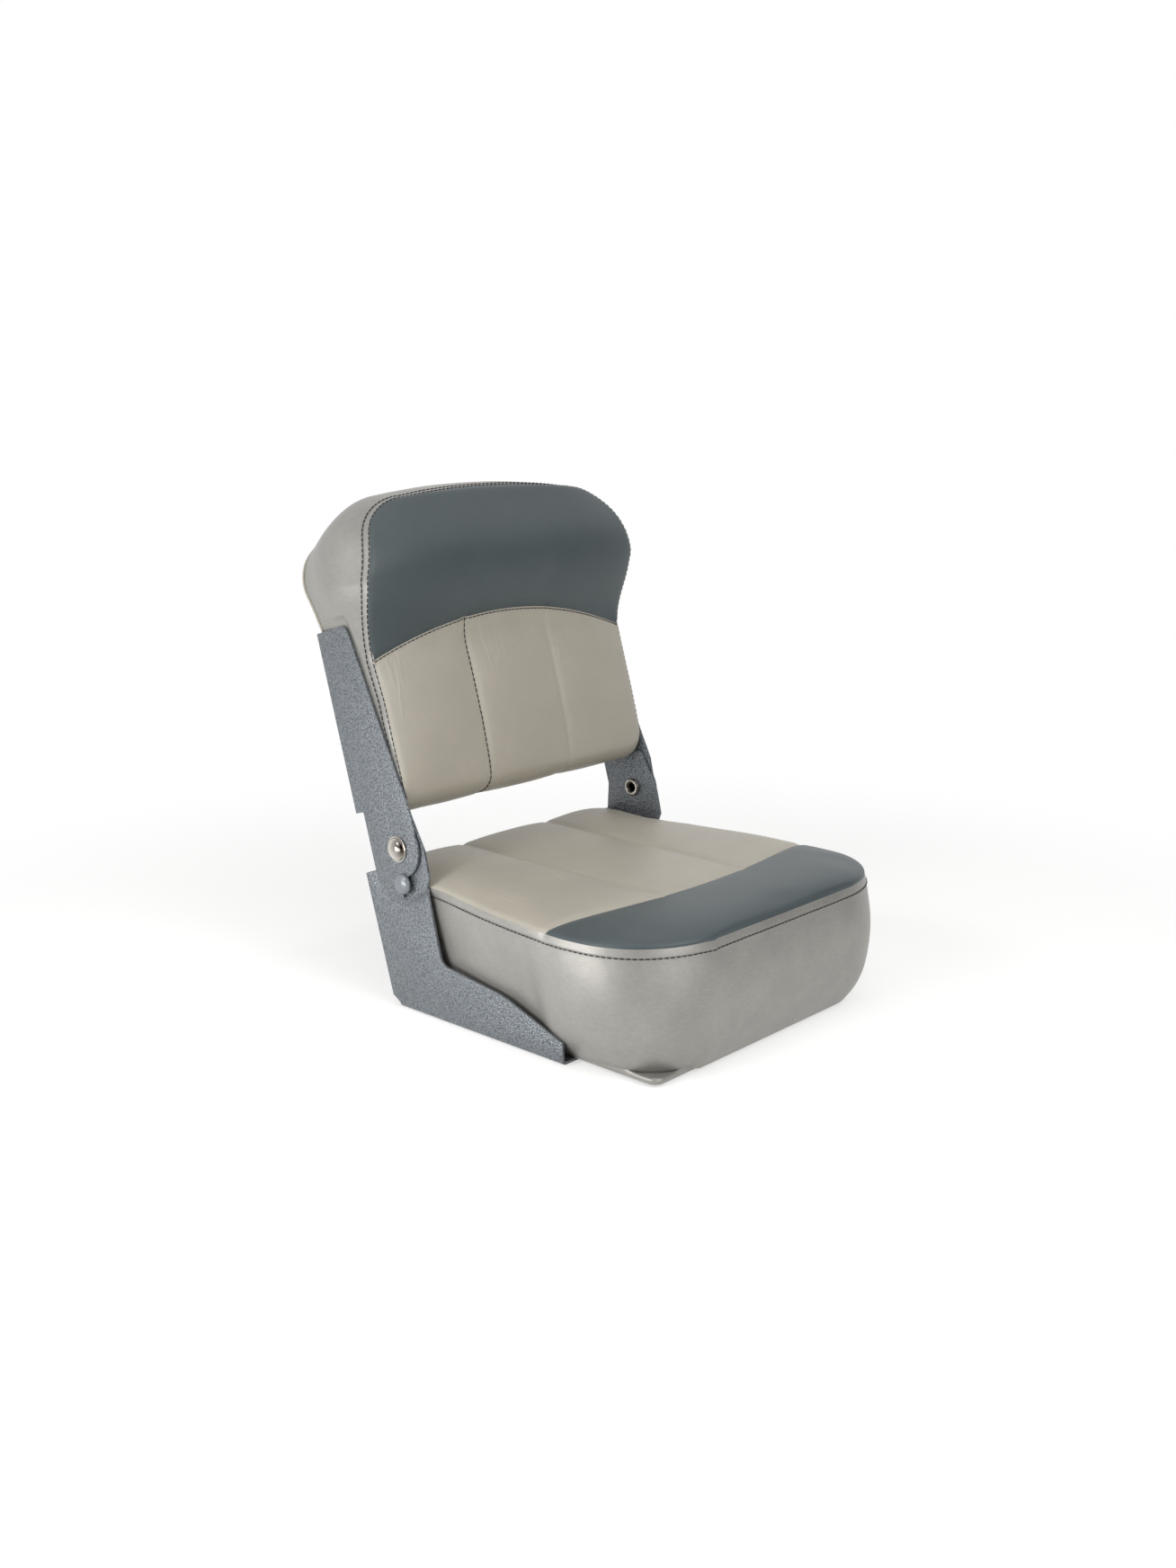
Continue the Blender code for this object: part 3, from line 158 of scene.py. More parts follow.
def vinyl(kind):
    # coated fabric: a soft sheen broken by fine grain, with a few slack creases where it is pulled
    values = vinyls[kind]
    shaderValues = {"Roughness": 0.42, "Sheen Weight": 0.05, **values["shader"]}
    material, tree, shader = newMaterial(values["name"], shaderValues)
    place = addNode(tree, "TexCoord", {}, {})
    here = {"Vector": (place, "Object")}
    grain = addNode(tree, "TexVoronoi", {"feature": "F1", "Scale": 1 / looks["grain"]}, here)
    cloud = addNoise(tree, looks["cloud"], 4.0, place, Roughness=0.6)
    # creases: a narrow slice of a drawn-out noise, in a few places only
    drawn = addNode(tree, "Mapping", {"Rotation": (0.3, 0.5, 0.6), "Scale": (1.0, 0.16, 0.25)}, here)
    folds = addNoise(tree, looks["fold"], 2.0, drawn, "Vector", Distortion=0.3)
    ridge = addRamp(tree, [(0.5, "000000"), (0.58, "000000"), (0.54, "ffffff")], folds, "Fac")
    ridge.color_ramp.interpolation = "B_SPLINE"
    where = addNoise(tree, looks["foldPatch"], 1.0, place)
    some = addNode(tree, "MapRange", {"From Min": 0.5, "From Max": 0.62}, {"Value": (where, "Fac")})
    crease = addNode(tree, "Math", {"operation": "MULTIPLY"}, {0: (ridge, "Color"), 1: (some, "Result")})
    # tone: clouds and streaks, a little paler on the creases
    level = eitherSide(tree, cloud, 1, values["clouds"])
    brushed = addNode(tree, "Mapping", {"Scale": (1.0, 1.0, 2.5)}, here)
    streak = addNoise(tree, looks["streak"], 5.0, brushed, "Vector", Roughness=0.7)
    streaks = eitherSide(tree, streak, 1, values["streaks"])
    tinted = addNode(tree, "Math", {"operation": "MULTIPLY"}, {0: (level, "Result"), 1: (streaks, "Result")})
    paler = addNode(tree, "Math", {"operation": "MULTIPLY_ADD", 1: 0.2 * values["slack"]},
                    {0: (crease, "Value"), 2: (tinted, "Value")})
    shade = addNode(tree, "HueSaturation", {"Color": hexColour(values["colour"])}, {"Value": (paler, "Value")})
    # the double layer along a seam, with the thread pulled down into it, from the distance to the sewn edge
    gap = addNode(tree, "Attribute", {"attribute_name": "fromSeam"}, {})
    step = {"interpolation_type": "SMOOTHSTEP", "From Min": looks["hem"],
            "From Max": looks["hem"] + looks["hemEdge"], "To Min": 1.0, "To Max": 0.0}
    hem = addNode(tree, "MapRange", step, {"Value": (gap, "Fac")})
    off = addNode(tree, "Math", {"operation": "SUBTRACT", 1: looks["hem"]}, {0: (gap, "Fac")})
    near = addNode(tree, "Math", {"operation": "ABSOLUTE"}, {0: (off, "Value")})
    groove = {"interpolation_type": "SMOOTHSTEP", "From Min": 0.0, "From Max": looks["hemGroove"]}
    press = addNode(tree, "MapRange", groove, {"Value": (near, "Value")})
    both = addNode(tree, "Math", {"operation": "ADD"}, {0: (hem, "Result"), 1: (press, "Result")})
    sewn = addBump(tree, values["hem"], 0.0007, (both, "Value"))
    slack = addBump(tree, values["slack"], 0.0012, (crease, "Value"), sewn)
    soft = addBump(tree, values["dents"], 0.002, (cloud, "Fac"), slack)
    fine = addBump(tree, 0.3, 0.0003, (grain, "Distance"), soft)
    join(tree, shader, {"Base Color": (shade, "Color"), "Normal": (fine, "Normal")})
    return material


def plainMetal(name, colour, middle, roughness, spread):
    # bare plated metal: clear reflections, dulled unevenly by handling; a darker face-on colour, where one is
    # given, is a painted dark reflection
    material, tree, shader = newMaterial(name, {"Metallic": 1.0})
    place = addNode(tree, "TexCoord", {}, {})
    dull = eitherSide(tree, addNoise(tree, looks["handled"], 5.0, place), roughness, spread)
    edge = addNode(tree, "LayerWeight", {"Blend": 0.5}, {})
    # painted reflection: the colour runs from the dark face-on one to the edge one
    tone = addRamp(tree, [(0.04, middle), (0.5, colour)], edge, "Facing")
    join(tree, shader, {"Base Color": (tone, "Color"), "Roughness": (dull, "Result")})
    return material


def plywood():
    # pale birch ply: long grain streaks
    material, tree, shader = newMaterial("birch plywood", {"Roughness": 0.7})
    place = addNode(tree, "TexCoord", {}, {})
    drawn = addNode(tree, "Mapping", {"Scale": (1.0, 0.06, 1.0)}, {"Vector": (place, "Object")})
    grain = addNoise(tree, looks["plyGrain"], 6.0, drawn, "Vector", Distortion=0.6)
    tone = addRamp(tree, [(0.35, looks["plyDark"]), (0.65, looks["plyLight"])], grain, "Fac")
    pores = addBump(tree, 0.2, 0.0004, (grain, "Fac"))
    join(tree, shader, {"Base Color": (tone, "Color"), "Normal": (pores, "Normal")})
    return material


def threadMaterial():
    # polyester thread: matt twisted strands
    shaderValues = {"Base Color": hexColour(looks["thread"]), "Roughness": 0.75}
    material, tree, shader = newMaterial("polyester thread", shaderValues)
    place = addNode(tree, "TexCoord", {}, {})
    strands = addBump(tree, 0.4, 0.0002, (addNoise(tree, looks["twist"], 1.0, place), "Fac"))
    join(tree, shader, {"Normal": (strands, "Normal")})
    return material


enamel = {"Base Color": hexColour(looks["enamel"]), "Roughness": 0.25, "Metallic": 0.2}
# dark steel for the rivet bores: painted shade
boreShadeSteel = {"Base Color": hexColour(looks["bore"]), "Metallic": 0.8, "Roughness": 0.6}
finish = {
    "hammer_paint": hammerPaint(),
    "smooth_paint": newMaterial("smooth enamel", enamel)[0],  # stop posts: the same paint, brushed on thin
    "beige_vinyl": vinyl("beige_vinyl"),
    "slate_vinyl": vinyl("slate_vinyl"),
    "silver_vinyl": vinyl("silver_vinyl"),
    "chrome": plainMetal("bright nickel plate", looks["chrome"], looks["chromeDark"], 0.13, 0.03),
    "zinc_plate": plainMetal("zinc plate", looks["zinc"], looks["zinc"], 0.36, 0.08),
    "bore": newMaterial("dull steel", boreShadeSteel)[0],  # inside of the hollow rivets: a dark lining that paints in the shade of the bore
    "plywood": plywood(),
    "thread": threadMaterial(),
}


def newPiece(name, points, edges, faces, *materials):
    mesh = bpy.data.meshes.new(name)
    mesh.from_pydata(points, edges, faces)
    for material in materials:
        mesh.materials.append(material)
    piece = bpy.data.objects.new(name, mesh)
    bpy.context.collection.objects.link(piece)
    return piece


def takeOnly(piece):
    bpy.ops.object.select_all(action="DESELECT")
    piece.select_set(True)
    bpy.context.view_layer.objects.active = piece


def applied(piece, label, kind, **values):
    takeOnly(piece)
    modifier = piece.modifiers.new(label, kind)
    for name, value in values.items():
        setattr(modifier, name, value)
    bpy.ops.object.modifier_apply(modifier=modifier.name)


def smoothBy(piece, degrees):
    takeOnly(piece)
    bpy.ops.object.shade_smooth_by_angle(angle=radians(degrees))


def valuesOf(items, name):
    flat = np.empty(len(items) * 3)
    items.foreach_get(name, flat)
    return flat.reshape(-1, 3)


def pointsOf(piece):
    return valuesOf(piece.data.vertices, "co")


def setPoints(piece, points):
    piece.data.vertices.foreach_set("co", np.asarray(points, float).ravel())
    piece.data.update()


print("cushion patterns")


def spline(table, at, even=()):
    # smooth run through the rows of a pattern; a column named in even meets its ends square
    table = np.array(table, float)
    first, last = 2 * table[0] - table[1], 2 * table[-1] - table[-2]
    for column in even:
        first[column], last[column] = table[1][column], table[-2][column]
    ghost = np.vstack([first, table, last])
    start = np.clip(np.floor(at).astype(int), 0, len(table) - 2)
    t = (at - start)[:, None]
    a, b, c, d = (ghost[start + k] for k in range(4))
    return b + 0.5 * t * (c - a + t * (2 * a - 5 * b + 4 * c - d + t * (3 * (b - c) + d - a)))


def rise(at, size, start, over):
    # from nothing to size, softly, between start and start + over
    t = np.clip((at - start) / over, 0.0, 1.0)
    return size * t * t * (3 - 2 * t)


def across(half, cushion):
    # columns of the pattern rows: even between the channels, closer together towards the rim
    channel, (side, middle) = cushion["channel"], cushion["columns"]
    bow = pi / 2 * 0.8
    curve = np.sin(np.linspace(0, 1, side + 1) * bow)
    even = np.linspace(-channel, channel, middle + 1)
    rows = [channel + (h - channel) * curve / sin(bow) for h in half]
    return np.array([np.concatenate([-out[:0:-1], even, out[1:]]) for out in rows])


def crown(x, half, channel):
    middle = (channel + half) / 2
    outer = 1 - ((np.abs(x) - middle) / (half - middle)) ** 2
    return np.where(np.abs(x) <= channel, 1 - (x / channel) ** 2, outer)


def rimOf(rows, columns):
    loop = [(0, i) for i in range(columns)] + [(j, columns - 1) for j in range(1, rows)]
    return loop + [(rows - 1, i) for i in range(columns - 2, -1, -1)] + [(j, 0) for j in range(rows - 2, 0, -1)]


# seat cover rows in mm, front to rear: half width, y at the ends, y in the middle; all else in m
seat = {
    "top": [(107.5, -246.1, -246.1), (147.8, -237.5, -235.5), (179.9, -214.6, -218.2), (199.9, -182.6, -196.9),
            (206.5, -147.1, -172.6), (205.8, -117.6, -145.6), (203.3, -84.7, -109.2), (199.3, -51.9, -72.9),
            (194.0, -19.0, -36.5), (187.6, 13.9, -0.1), (180.7, 46.8, 36.3), (178.3, 79.7, 72.7),
            (178.3, 131.4, 131.4), (164.3, 145.4, 145.4)],
    "foot": [(119.8, -227.9, -227.9), (141.0, -223.4, -219.3), (157.8, -211.4, -205.1), (168.3, -194.5, -187.6),
             (171.8, -175.9, -167.7), (171.8, -117.6, -145.6), (171.8, -87.9, -112.4), (169.0, -58.1, -79.1),
             (169.0, -28.4, -45.9), (169.0, 1.3, -12.7), (169.0, 31.1, 20.6), (169.0, 60.8, 53.8),
             (169.0, 106.3, 106.3), (155.0, 120.3, 120.3)],
    "bandRow": 5, "rows": (18, 46), "columns": (22, 20), "levels": 24, "channel": 0.065,
    "seam": 0.1362, "footZ": 0.0159, "skirtZ": 0.0031, "skirtRow": 6,
    "skirtLift": 0.0070, "liftFront": (0.105, 0.03), "liftSide": (0.45, -0.19, 0.07),  # left front corner only
    "pillow": 0.0098, "pillowEdge": 0.6, "crown": 0.0028, "crownTuck": 0.4,
    "bulge": 0.0145, "bulgeFrom": (0.0736, 0.07), "bulgeLow": 1.35, "bulgeSquare": 2.4,
    "cap": 0.0035, "evened": 10, "fill": 0.8,
}


def seatShape():
    band, last = seat["bandRow"], len(seat["top"]) - 1
    before, behind = (count + 1 for count in seat["rows"])
    at = np.concatenate([np.linspace(0, band, before), np.linspace(band, last, behind)[1:]])
    grids = []
    for rows in (seat["top"], seat["foot"]):
        half, end, middle = (spline(rows, at, (1,)) / 1000).T
        x = across(half, seat)
        y = middle[:, None] + (end - middle)[:, None] * (x / half[:, None]) ** 2
        grids.append(np.stack([x, y, np.full_like(x, seat["footZ"])], axis=2))
    top, foot = grids
    x, half = top[:, :, 0], top[:, -1, 0][:, None]
    row = at[:, None]
    run, inBand = row / last, row / band
    # flat inside and rounded off at the rim, more sharply at the rear
    ends = np.where(run < 0.5, 1 - (2 * run - 1) ** 8, 1 - (2 * run - 1) ** 16)
    edge = np.clip((1 - (x / half) ** 6) * ends, 0, None) ** seat["pillowEdge"]
    front = (1 - (2 * inBand - 1) ** 2) * (1 - (x / half) ** 4)
    tucked = 1 - rise(row, seat["crownTuck"], last - 1, 1)
    rear = crown(x, half, seat["channel"]) * rise(row, 1, band, 2) * tucked
    top[:, :, 2] = seat["seam"] + seat["pillow"] * edge + seat["crown"] * np.where(inBand <= 1, front, rear)
    loop = rimOf(*top.shape[:2])
    upper, lower = (np.array([grid[j, i] for j, i in loop]) for grid in (top, foot))
    row = np.array([at[j] for j, i in loop])
    atFront, atSide = rise(-lower[:, 0], 1, *seat["liftFront"]), 1 - rise(lower[:, 1], *seat["liftSide"])
    lift = np.where(row == 0, atFront, atSide) * (lower[:, 0] < 0)
    settle = rise(row, 1, seat["skirtRow"] - 1, 1)
    lower[:, 2] = (seat["skirtZ"] + lift * seat["skirtLift"]) * (1 - settle) + seat["footZ"] * settle
    ahead = np.roll(upper, -1, axis=0) - np.roll(upper, 1, axis=0)
    out = np.stack([ahead[:, 1], -ahead[:, 0], 0 * ahead[:, 0]], axis=1)
    out /= np.linalg.norm(out, axis=1)[:, None]
    bulge = rise(-upper[:, 1], seat["bulge"], *seat["bulgeFrom"])
    levels = []
    for share in np.linspace(0, 1, seat["levels"] + 1):
        full = 1 - abs(2 * share ** seat["bulgeLow"] - 1) ** seat["bulgeSquare"]
        levels.append(upper + (lower - upper) * share + out * (bulge * full)[:, None])
    return top, levels, loop


# back cover rows in mm, from under the cushion to its top: half width, y, z at the ends, z in the middle
# (no y behind); all else in m, in the back's own upright frame
back = {
    "face": [(178.3, 42.5, 39.2, 39.2), (178.3, 18.5, 37.7, 37.7), (178.3, -1.0, 36.2, 36.2),
             (178.3, -18.0, 43.2, 43.2), (182.8, -25.6, 60.2, 60.2),
             (184.0, -26.5, 103.6, 114.7), (184.0, -26.5, 147.1, 169.1),
             (186.0, -26.0, 190.5, 223.6), (189.0, -30.3, 213.6, 233.9), (193.8, -41.9, 236.7, 244.2),
             (195.2, -47.0, 245.9, 254.4), (196.3, -54.0, 259.3, 264.7), (196.3, -60.1, 275.0, 275.0),
             (181.8, -57.3, 317.8, 322.2), (154.4, -50.4, 342.0, 348.6), (120.8, -49.8, 349.8, 357.0)],
    "rear": [(175.5, 48.2, 48.2), (175.5, 55.9, 55.9), (175.5, 69.9, 69.9), (175.5, 88.1, 88.1),
             (175.5, 109.7, 109.7), (175.5, 134.1, 134.1), (175.5, 161.1, 161.1), (175.5, 190.5, 190.5),
             (175.5, 217.0, 217.0), (181.5, 243.6, 243.6), (182.6, 251.6, 251.6), (184.0, 267.3, 267.3),
             (184.5, 284.0, 284.0), (178.2, 311.5, 315.9), (152.0, 332.0, 340.4), (121.0, 343.8, 352.4)],
    "rollRow": 4, "bandRow": 7, "rows": (14, 24, 28), "columns": (20, 18), "levels": 18, "channel": 0.061,
    "seamY": -0.025, "headOut": (0.0374, 0.19, 0.1), "headTuck": (0.0126, 0.293, 0.056),
    "pillow": 0.003, "headPillow": 0.008, "headEdge": 0.7,
    "crown": 0.0018, "crownAt": (2, 3, 4, 5, 6, 6.7, 7), "crownShare": (0, 0.33, 0.5, 0.8, 1.0, 0.7, 0.3),
    "bulge": 0.0105, "topBulge": 0.014, "bulgePower": 1.3, "bulgeOver": 0.032, "waist": (0.25, 0.6),
    "turnAt": (12, 13, 14, 15), "turnDegrees": (0, 35, 64, 90),
    "coverY": 0.0527, "coverOut": 0.0091, "coverFrom": (0.2436, 0.055), "coverHigh": 0.1004, "coverFill": 0.003,
    "coverTuck": (0.012, 0.283, 0.054), "cap": 0.0035, "evened": 14, "fill": 0.8,
}

# the back frame's arms, in the same upright frame: front edge at the foot, how far it runs back, inside face
arm = {"top": 0.2367, "inside": 0.1833, "foot": 0.0304, "front": -0.0304, "rake": 0.0366, "long": 0.2033,
       "clear": 0.0035}


def faceSeam(z):
    return back["seamY"] - rise(z, *back["headOut"]) + rise(z, *back["headTuck"])


def coverBehind(x, z, half):
    # rear of the back: flat on its board, full behind the head, tucked in at the top
    out = rise(z, 1, *back["coverFrom"])
    high = np.clip((z - back["coverFrom"][0]) / back["coverHigh"], 0, 1)
    full = np.clip(out * (1 - (x / half) ** 4) * (1 - high ** 4), 0, None)
    return back["coverY"] + back["coverOut"] * out + back["coverFill"] * full - rise(z, *back["coverTuck"])


def armFront(z):
    return arm["front"] + arm["rake"] * np.clip((z - arm["foot"]) / arm["long"], 0, 1)


def backShape():
    roll, band, last = back["rollRow"], back["bandRow"], len(back["face"]) - 1
    stops = (0, roll, band, last)
    runs = [np.linspace(a, b, count + 1) for a, b, count in zip(stops, stops[1:], back["rows"])]
    at = np.concatenate([runs[0], runs[1][1:], runs[2][1:]])
    half, flat, end, middle = (v[:, None] for v in (spline(back["face"], at, (2,)) / 1000).T)
    x = across(half[:, 0], back)
    z = middle + (end - middle) * (x / half) ** 2
    row = at[:, None]
    full = crown(x, half, back["channel"])
    z = z - back["crown"] / 4 * full * np.clip(np.minimum(row, roll - row), 0, 1)
    level = 1 - (x / half) ** 4
    # beige part below the band, blended into the seam, then the head above it
    below = np.where(row < band - 0.001, flat, faceSeam(z)) - back["pillow"] * level * np.clip(row - roll, 0, 1)
    below -= back["crown"] * full * np.interp(at, back["crownAt"], back["crownShare"])[:, None]
    run = (row - band) / (last - band)
    pillow = np.clip(level * (1 - np.abs(2 * run - 1) ** 4), 0, None) ** back["headEdge"]
    above = faceSeam(z) - back["headPillow"] * pillow - back["pillow"] * level * (1 - run)
    blend = rise(row, 1, band - 1, 1)
    atBand = faceSeam(z) - back["pillow"] * level - back["crown"] * back["crownShare"][-1] * full
    below = below * (1 - blend) + atBand * blend
    face = np.stack([x, np.where(row <= band, below, above), z], axis=2)
    half, end, middle = (v[:, None] for v in (spline(back["rear"], at, (1,)) / 1000).T)
    x = across(half[:, 0], back)
    z = middle + (end - middle) * (x / half) ** 2
    rear = np.stack([x, coverBehind(x, z, half) - 0.0003, z], axis=2)
    # the side strip runs up one side, over the top and down the other
    columns = face.shape[1] - 1
    loop = rimOf(*face.shape[:2])
    loop = loop[columns:] + loop[:1]
    fronts, behind = (np.array([grid[j, i] for j, i in loop]) for grid in (face, rear))
    turn = np.radians([np.interp(at[j], back["turnAt"], back["turnDegrees"]) for j, i in loop])
    side = np.array([-1.0 if i == 0 else 1.0 if i == columns else 0.0 for j, i in loop])
    out = np.stack([np.cos(turn) * side, 0 * turn, np.where(side == 0, 1.0, np.sin(turn))], axis=1)
    waist = (armFront(fronts[:, 2]) - 0.003 - fronts[:, 1]) / (behind[:, 1] - fronts[:, 1])
    waist = np.clip(waist, *back["waist"])
    bulge = back["bulge"] + (back["topBulge"] - back["bulge"]) * out[:, 2]
    bulge = bulge * rise(fronts[:, 2], 1, arm["top"], back["bulgeOver"])
    levels = []
    for step in np.linspace(0, 2, back["levels"] + 1):
        share = waist * step if step <= 1 else waist + (1 - waist) * (step - 1)
        swell = bulge * np.sin(pi * share) ** back["bulgePower"]
        ring = fronts + (behind - fronts) * share[:, None] + out * swell[:, None]
        held = (fronts[:, 2] <= arm["top"] + 0.001) & (ring[:, 1] > armFront(ring[:, 2]) - arm["clear"])
        ring[:, 0] = np.where(held, np.clip(ring[:, 0], -arm["inside"], arm["inside"]), ring[:, 0])
        levels.append(ring)
    return face, levels, loop, rear


def leaned(points):
    # from the back's own upright frame to where it leans on the hinge
    placed = np.array(points, float)
    y, z = placed[..., 1].copy(), placed[..., 2].copy()
    placed[..., 1] = hinge["y"] + y * cos(hinge["lean"]) + z * sin(hinge["lean"])
    placed[..., 2] = hinge["z"] - y * sin(hinge["lean"]) + z * cos(hinge["lean"])
    return placed


def gridIndex(grid, j, i):
    return j * grid.shape[1] + i


def coverMesh(name, grid, levels, loop, closed, panelOf, sideFinish, finishes):
    # one mesh: the grid, then the loops of its side; each face carries the finish of its panel
    rows, columns = grid.shape[:2]
    points = np.vstack([grid.reshape(-1, 3)] + levels[1:])
    rings = [[gridIndex(grid, j, i) for j, i in loop]]
    for k in range(1, len(levels)):
        start = rows * columns + (k - 1) * len(loop)
        rings.append(list(range(start, start + len(loop))))
    faces, marks = [], []
    for j in range(rows - 1):
        for i in range(columns - 1):
            a, b = gridIndex(grid, j, i), gridIndex(grid, j + 1, i)
            faces.append((a, a + 1, b + 1, b))
            marks.append(panelOf(j))
    for upper, lower in zip(rings, rings[1:]):
        for k in range(len(loop) if closed else len(loop) - 1):
            after = (k + 1) % len(loop)
            faces.append((upper[after], upper[k], lower[k], lower[after]))
            marks.append(sideFinish)
    piece = newPiece(name, points.tolist(), [], faces, *finishes)
    piece.data.polygons.foreach_set("material_index", marks)
    return piece, rings


# how the vinyl takes its filling
clothValues = {
    "quality": 4, "mass": 0.2, "tension_stiffness": 25, "compression_stiffness": 25, "shear_stiffness": 12,
    "bending_stiffness": 0.6, "use_pressure": True, "uniform_pressure_force": 4.0, "shrink_min": -0.012,
}
clothFrames = 20


def puff(piece, held, cap, evened):
    # filled cover: the cloth is blown up against its sewn lines, then held to a few mm of the pattern
    start = pointsOf(piece)
    group = piece.vertex_groups.new(name="sewn")
    group.add([int(k) for k in held], 1.0, "REPLACE")
    takeOnly(piece)
    cloth = piece.modifiers.new("fill", "CLOTH")
    for name, value in clothValues.items():
        setattr(cloth.settings, name, value)
    cloth.settings.effector_weights.gravity = 0.0
    cloth.settings.vertex_group_mass = "sewn"
    for number in range(1, clothFrames + 1):
        bpy.context.scene.frame_set(number)
    shaped = piece.evaluated_get(bpy.context.evaluated_depsgraph_get())
    moved = pointsOf(shaped) - start
    piece.modifiers.remove(cloth)
    bpy.context.scene.frame_set(1)
    ends = np.empty(len(piece.data.edges) * 2, int)
    piece.data.edges.foreach_get("vertices", ends)
    a, b = ends.reshape(-1, 2).T
    shared = np.bincount(np.concatenate([a, b]), minlength=len(start))[:, None]
    loose = np.ones((len(start), 1))
    loose[list(held)] = 0
    for _ in range(evened):  # the cover's weight evens out the small ripples
        total = np.zeros_like(moved)
        np.add.at(total, a, moved[b])
        np.add.at(total, b, moved[a])
        moved = loose * (moved + total / shared) / 2
    far = np.linalg.norm(moved, axis=1)
    print("  ", piece.name, "blown up by", round(1000 * float(far.max()), 1), "mm")
    setPoints(piece, start + moved * (cap / (cap + far))[:, None])


seatTop, seatLevels, seatLoop = seatShape()
backFace, backLevels, backLoop, backRear = backShape()

seatChannels = [seat["columns"][0], sum(seat["columns"])]
backChannels = [back["columns"][0], sum(back["columns"])]
seatBandRow = seat["rows"][0]
backBandRow = sum(back["rows"][:2])

# finishes of a cover, in the order of its marks: band or head, beige panels, side strip
slots = ["slate_vinyl", "beige_vinyl", "silver_vinyl"]
coverFinishes = [finish[name] for name in slots]
seatCover, seatRings = coverMesh("seatCover", seatTop, seatLevels, seatLoop, True,
                                 lambda j: 0 if j < seatBandRow else 1, 2, coverFinishes)
backCover, backRings = coverMesh("backCover", leaned(backFace), [leaned(level) for level in backLevels],
                                 backLoop, False, lambda j: 0 if j >= backBandRow else 1, 2, coverFinishes)


def seamLines(grid, rings, channels, bandRow, channelRows):
    lines = {"rim": list(rings[0]), "band": [gridIndex(grid, bandRow, i) for i in range(grid.shape[1])]}
    for name, i in zip(("left", "right"), channels):
        lines[name] = [gridIndex(grid, j, i) for j in channelRows]
    return lines


seatLines = seamLines(seatTop, seatRings, seatChannels, seatBandRow, range(seatBandRow, seatTop.shape[0]))
backLines = seamLines(backFace, backRings, backChannels, backBandRow, range(0, backBandRow + 1))

print("filling the cushions")
seatHeld = set(sum(seatLines.values(), [])) | set(seatRings[-1]) | set(seatRings[-2])
puff(seatCover, seatHeld, seat["cap"], seat["evened"])
underside = {gridIndex(backFace, j, i) for j in range(3) for i in range(backFace.shape[1])}
backHeld = set(sum(backLines.values(), [])) | set(backRings[-1]) | underside
puff(backCover, backHeld, back["cap"], back["evened"])

# what stands beside the covers: top edge of the seat plates along y, plates, ears and the arms' round ends
sides = {
    "plateY": (-0.1236, -0.0436, 0.0436), "plateTop": (0.0225, 0.05, 0.061), "over": 0.002,
    "plate": 0.1832, "plateFront": -0.126, "ear": 0.1787, "earFront": 0.0555,
    "armEnd": 0.1788, "armEndTop": 0.05, "free": 0.3,
}


def clearOfSides():
    # the filled covers stay inside the ears, the arms and the plates
    points = pointsOf(seatCover)
    y, z = points[:, 1], points[:, 2]
    plate = np.interp(y, sides["plateY"], sides["plateTop"]) + sides["over"]
    limit = sides["plate"] + np.maximum(np.maximum(z - plate, 0), np.maximum(sides["plateFront"] - y, 0))
    limit = np.minimum(limit, sides["ear"] + np.maximum(sides["earFront"] - y, 0))
    points[:, 0] = np.clip(points[:, 0], -limit, limit)
    setPoints(seatCover, points)
    points = pointsOf(backCover)
    y, z = points[:, 1] - hinge["y"], points[:, 2] - hinge["z"]
    ownY = y * cos(hinge["lean"]) - z * sin(hinge["lean"])
    ownZ = y * sin(hinge["lean"]) + z * cos(hinge["lean"])
    besideArm = (ownZ < arm["top"]) & (ownY > armFront(ownZ) - arm["clear"])
    limit = np.where(besideArm, arm["inside"], sides["free"])
    limit = np.where(ownZ < sides["armEndTop"], sides["armEnd"], limit)
    points[:, 0] = np.clip(points[:, 0], -limit, limit)
    setPoints(backCover, points)


clearOfSides()


def sew(piece, lines, depths):
    # finer mesh with the seams kept crisp, then each seam drawn in
    crease = piece.data.attributes.new("crease_edge", "FLOAT", "EDGE")
    sewn = set()
    for line in lines.values():
        sewn |= {frozenset(pair) for pair in zip(line, line[1:])}
    for edge in piece.data.edges:
        if frozenset(edge.vertices) in sewn or edge.is_loose:
            crease.data[edge.index].value = 0.75
    applied(piece, "finer", "SUBSURF", levels=1, render_levels=1, boundary_smooth="PRESERVE_CORNERS")
    points, normals = pointsOf(piece), valuesOf(piece.data.vertex_normals, "vector")
    for name, line in lines.items():
        depth, width = depths[name]
        run = np.vstack([points[line], (points[line[1:]] + points[line[:-1]]) / 2])
        tree = KDTree(len(run))
        for k, point in enumerate(run):
            tree.insert(point, k)
        tree.balance()
        far = np.array([tree.find(point)[2] for point in points])
        if name == "rim":
            attribute = piece.data.attributes.new("fromSeam", "FLOAT", "POINT")
            attribute.data.foreach_set("value", far)
        points = points - normals * (depth * np.exp(-(far / width) ** 2))[:, None]
    setPoints(piece, points)


# depth and width of each drawn-in seam
seatSeams = {"rim": (0.0009, 0.0035), "band": (0.0016, 0.0045), "left": (0.0014, 0.004), "right": (0.0014, 0.004)}
backSeams = {"rim": (0.0007, 0.003), "band": (0.0014, 0.004), "left": (0.0014, 0.0045), "right": (0.0014, 0.0045)}
sew(seatCover, seatLines, seatSeams)
sew(backCover, backLines, backSeams)

print("stitching")

# one stitch, and how far the rows on the back lie from their seams
stitch = {
    "length": 0.0049, "pitch": 0.0058, "thick": 0.00055, "lift": 0.0003, "reach": 0.0016, "sides": 6,
    "rim": 0.0008, "band": 0.002, "channel": 0.0012,
    # along its length, thickness, height: the ends dip into the cover
    "profile": [(-0.5, 0.4, -0.9), (-0.42, 0.9, 0.1), (0.0, 1.0, 0.35), (0.42, 0.9, 0.1), (0.5, 0.4, -0.9)],
}


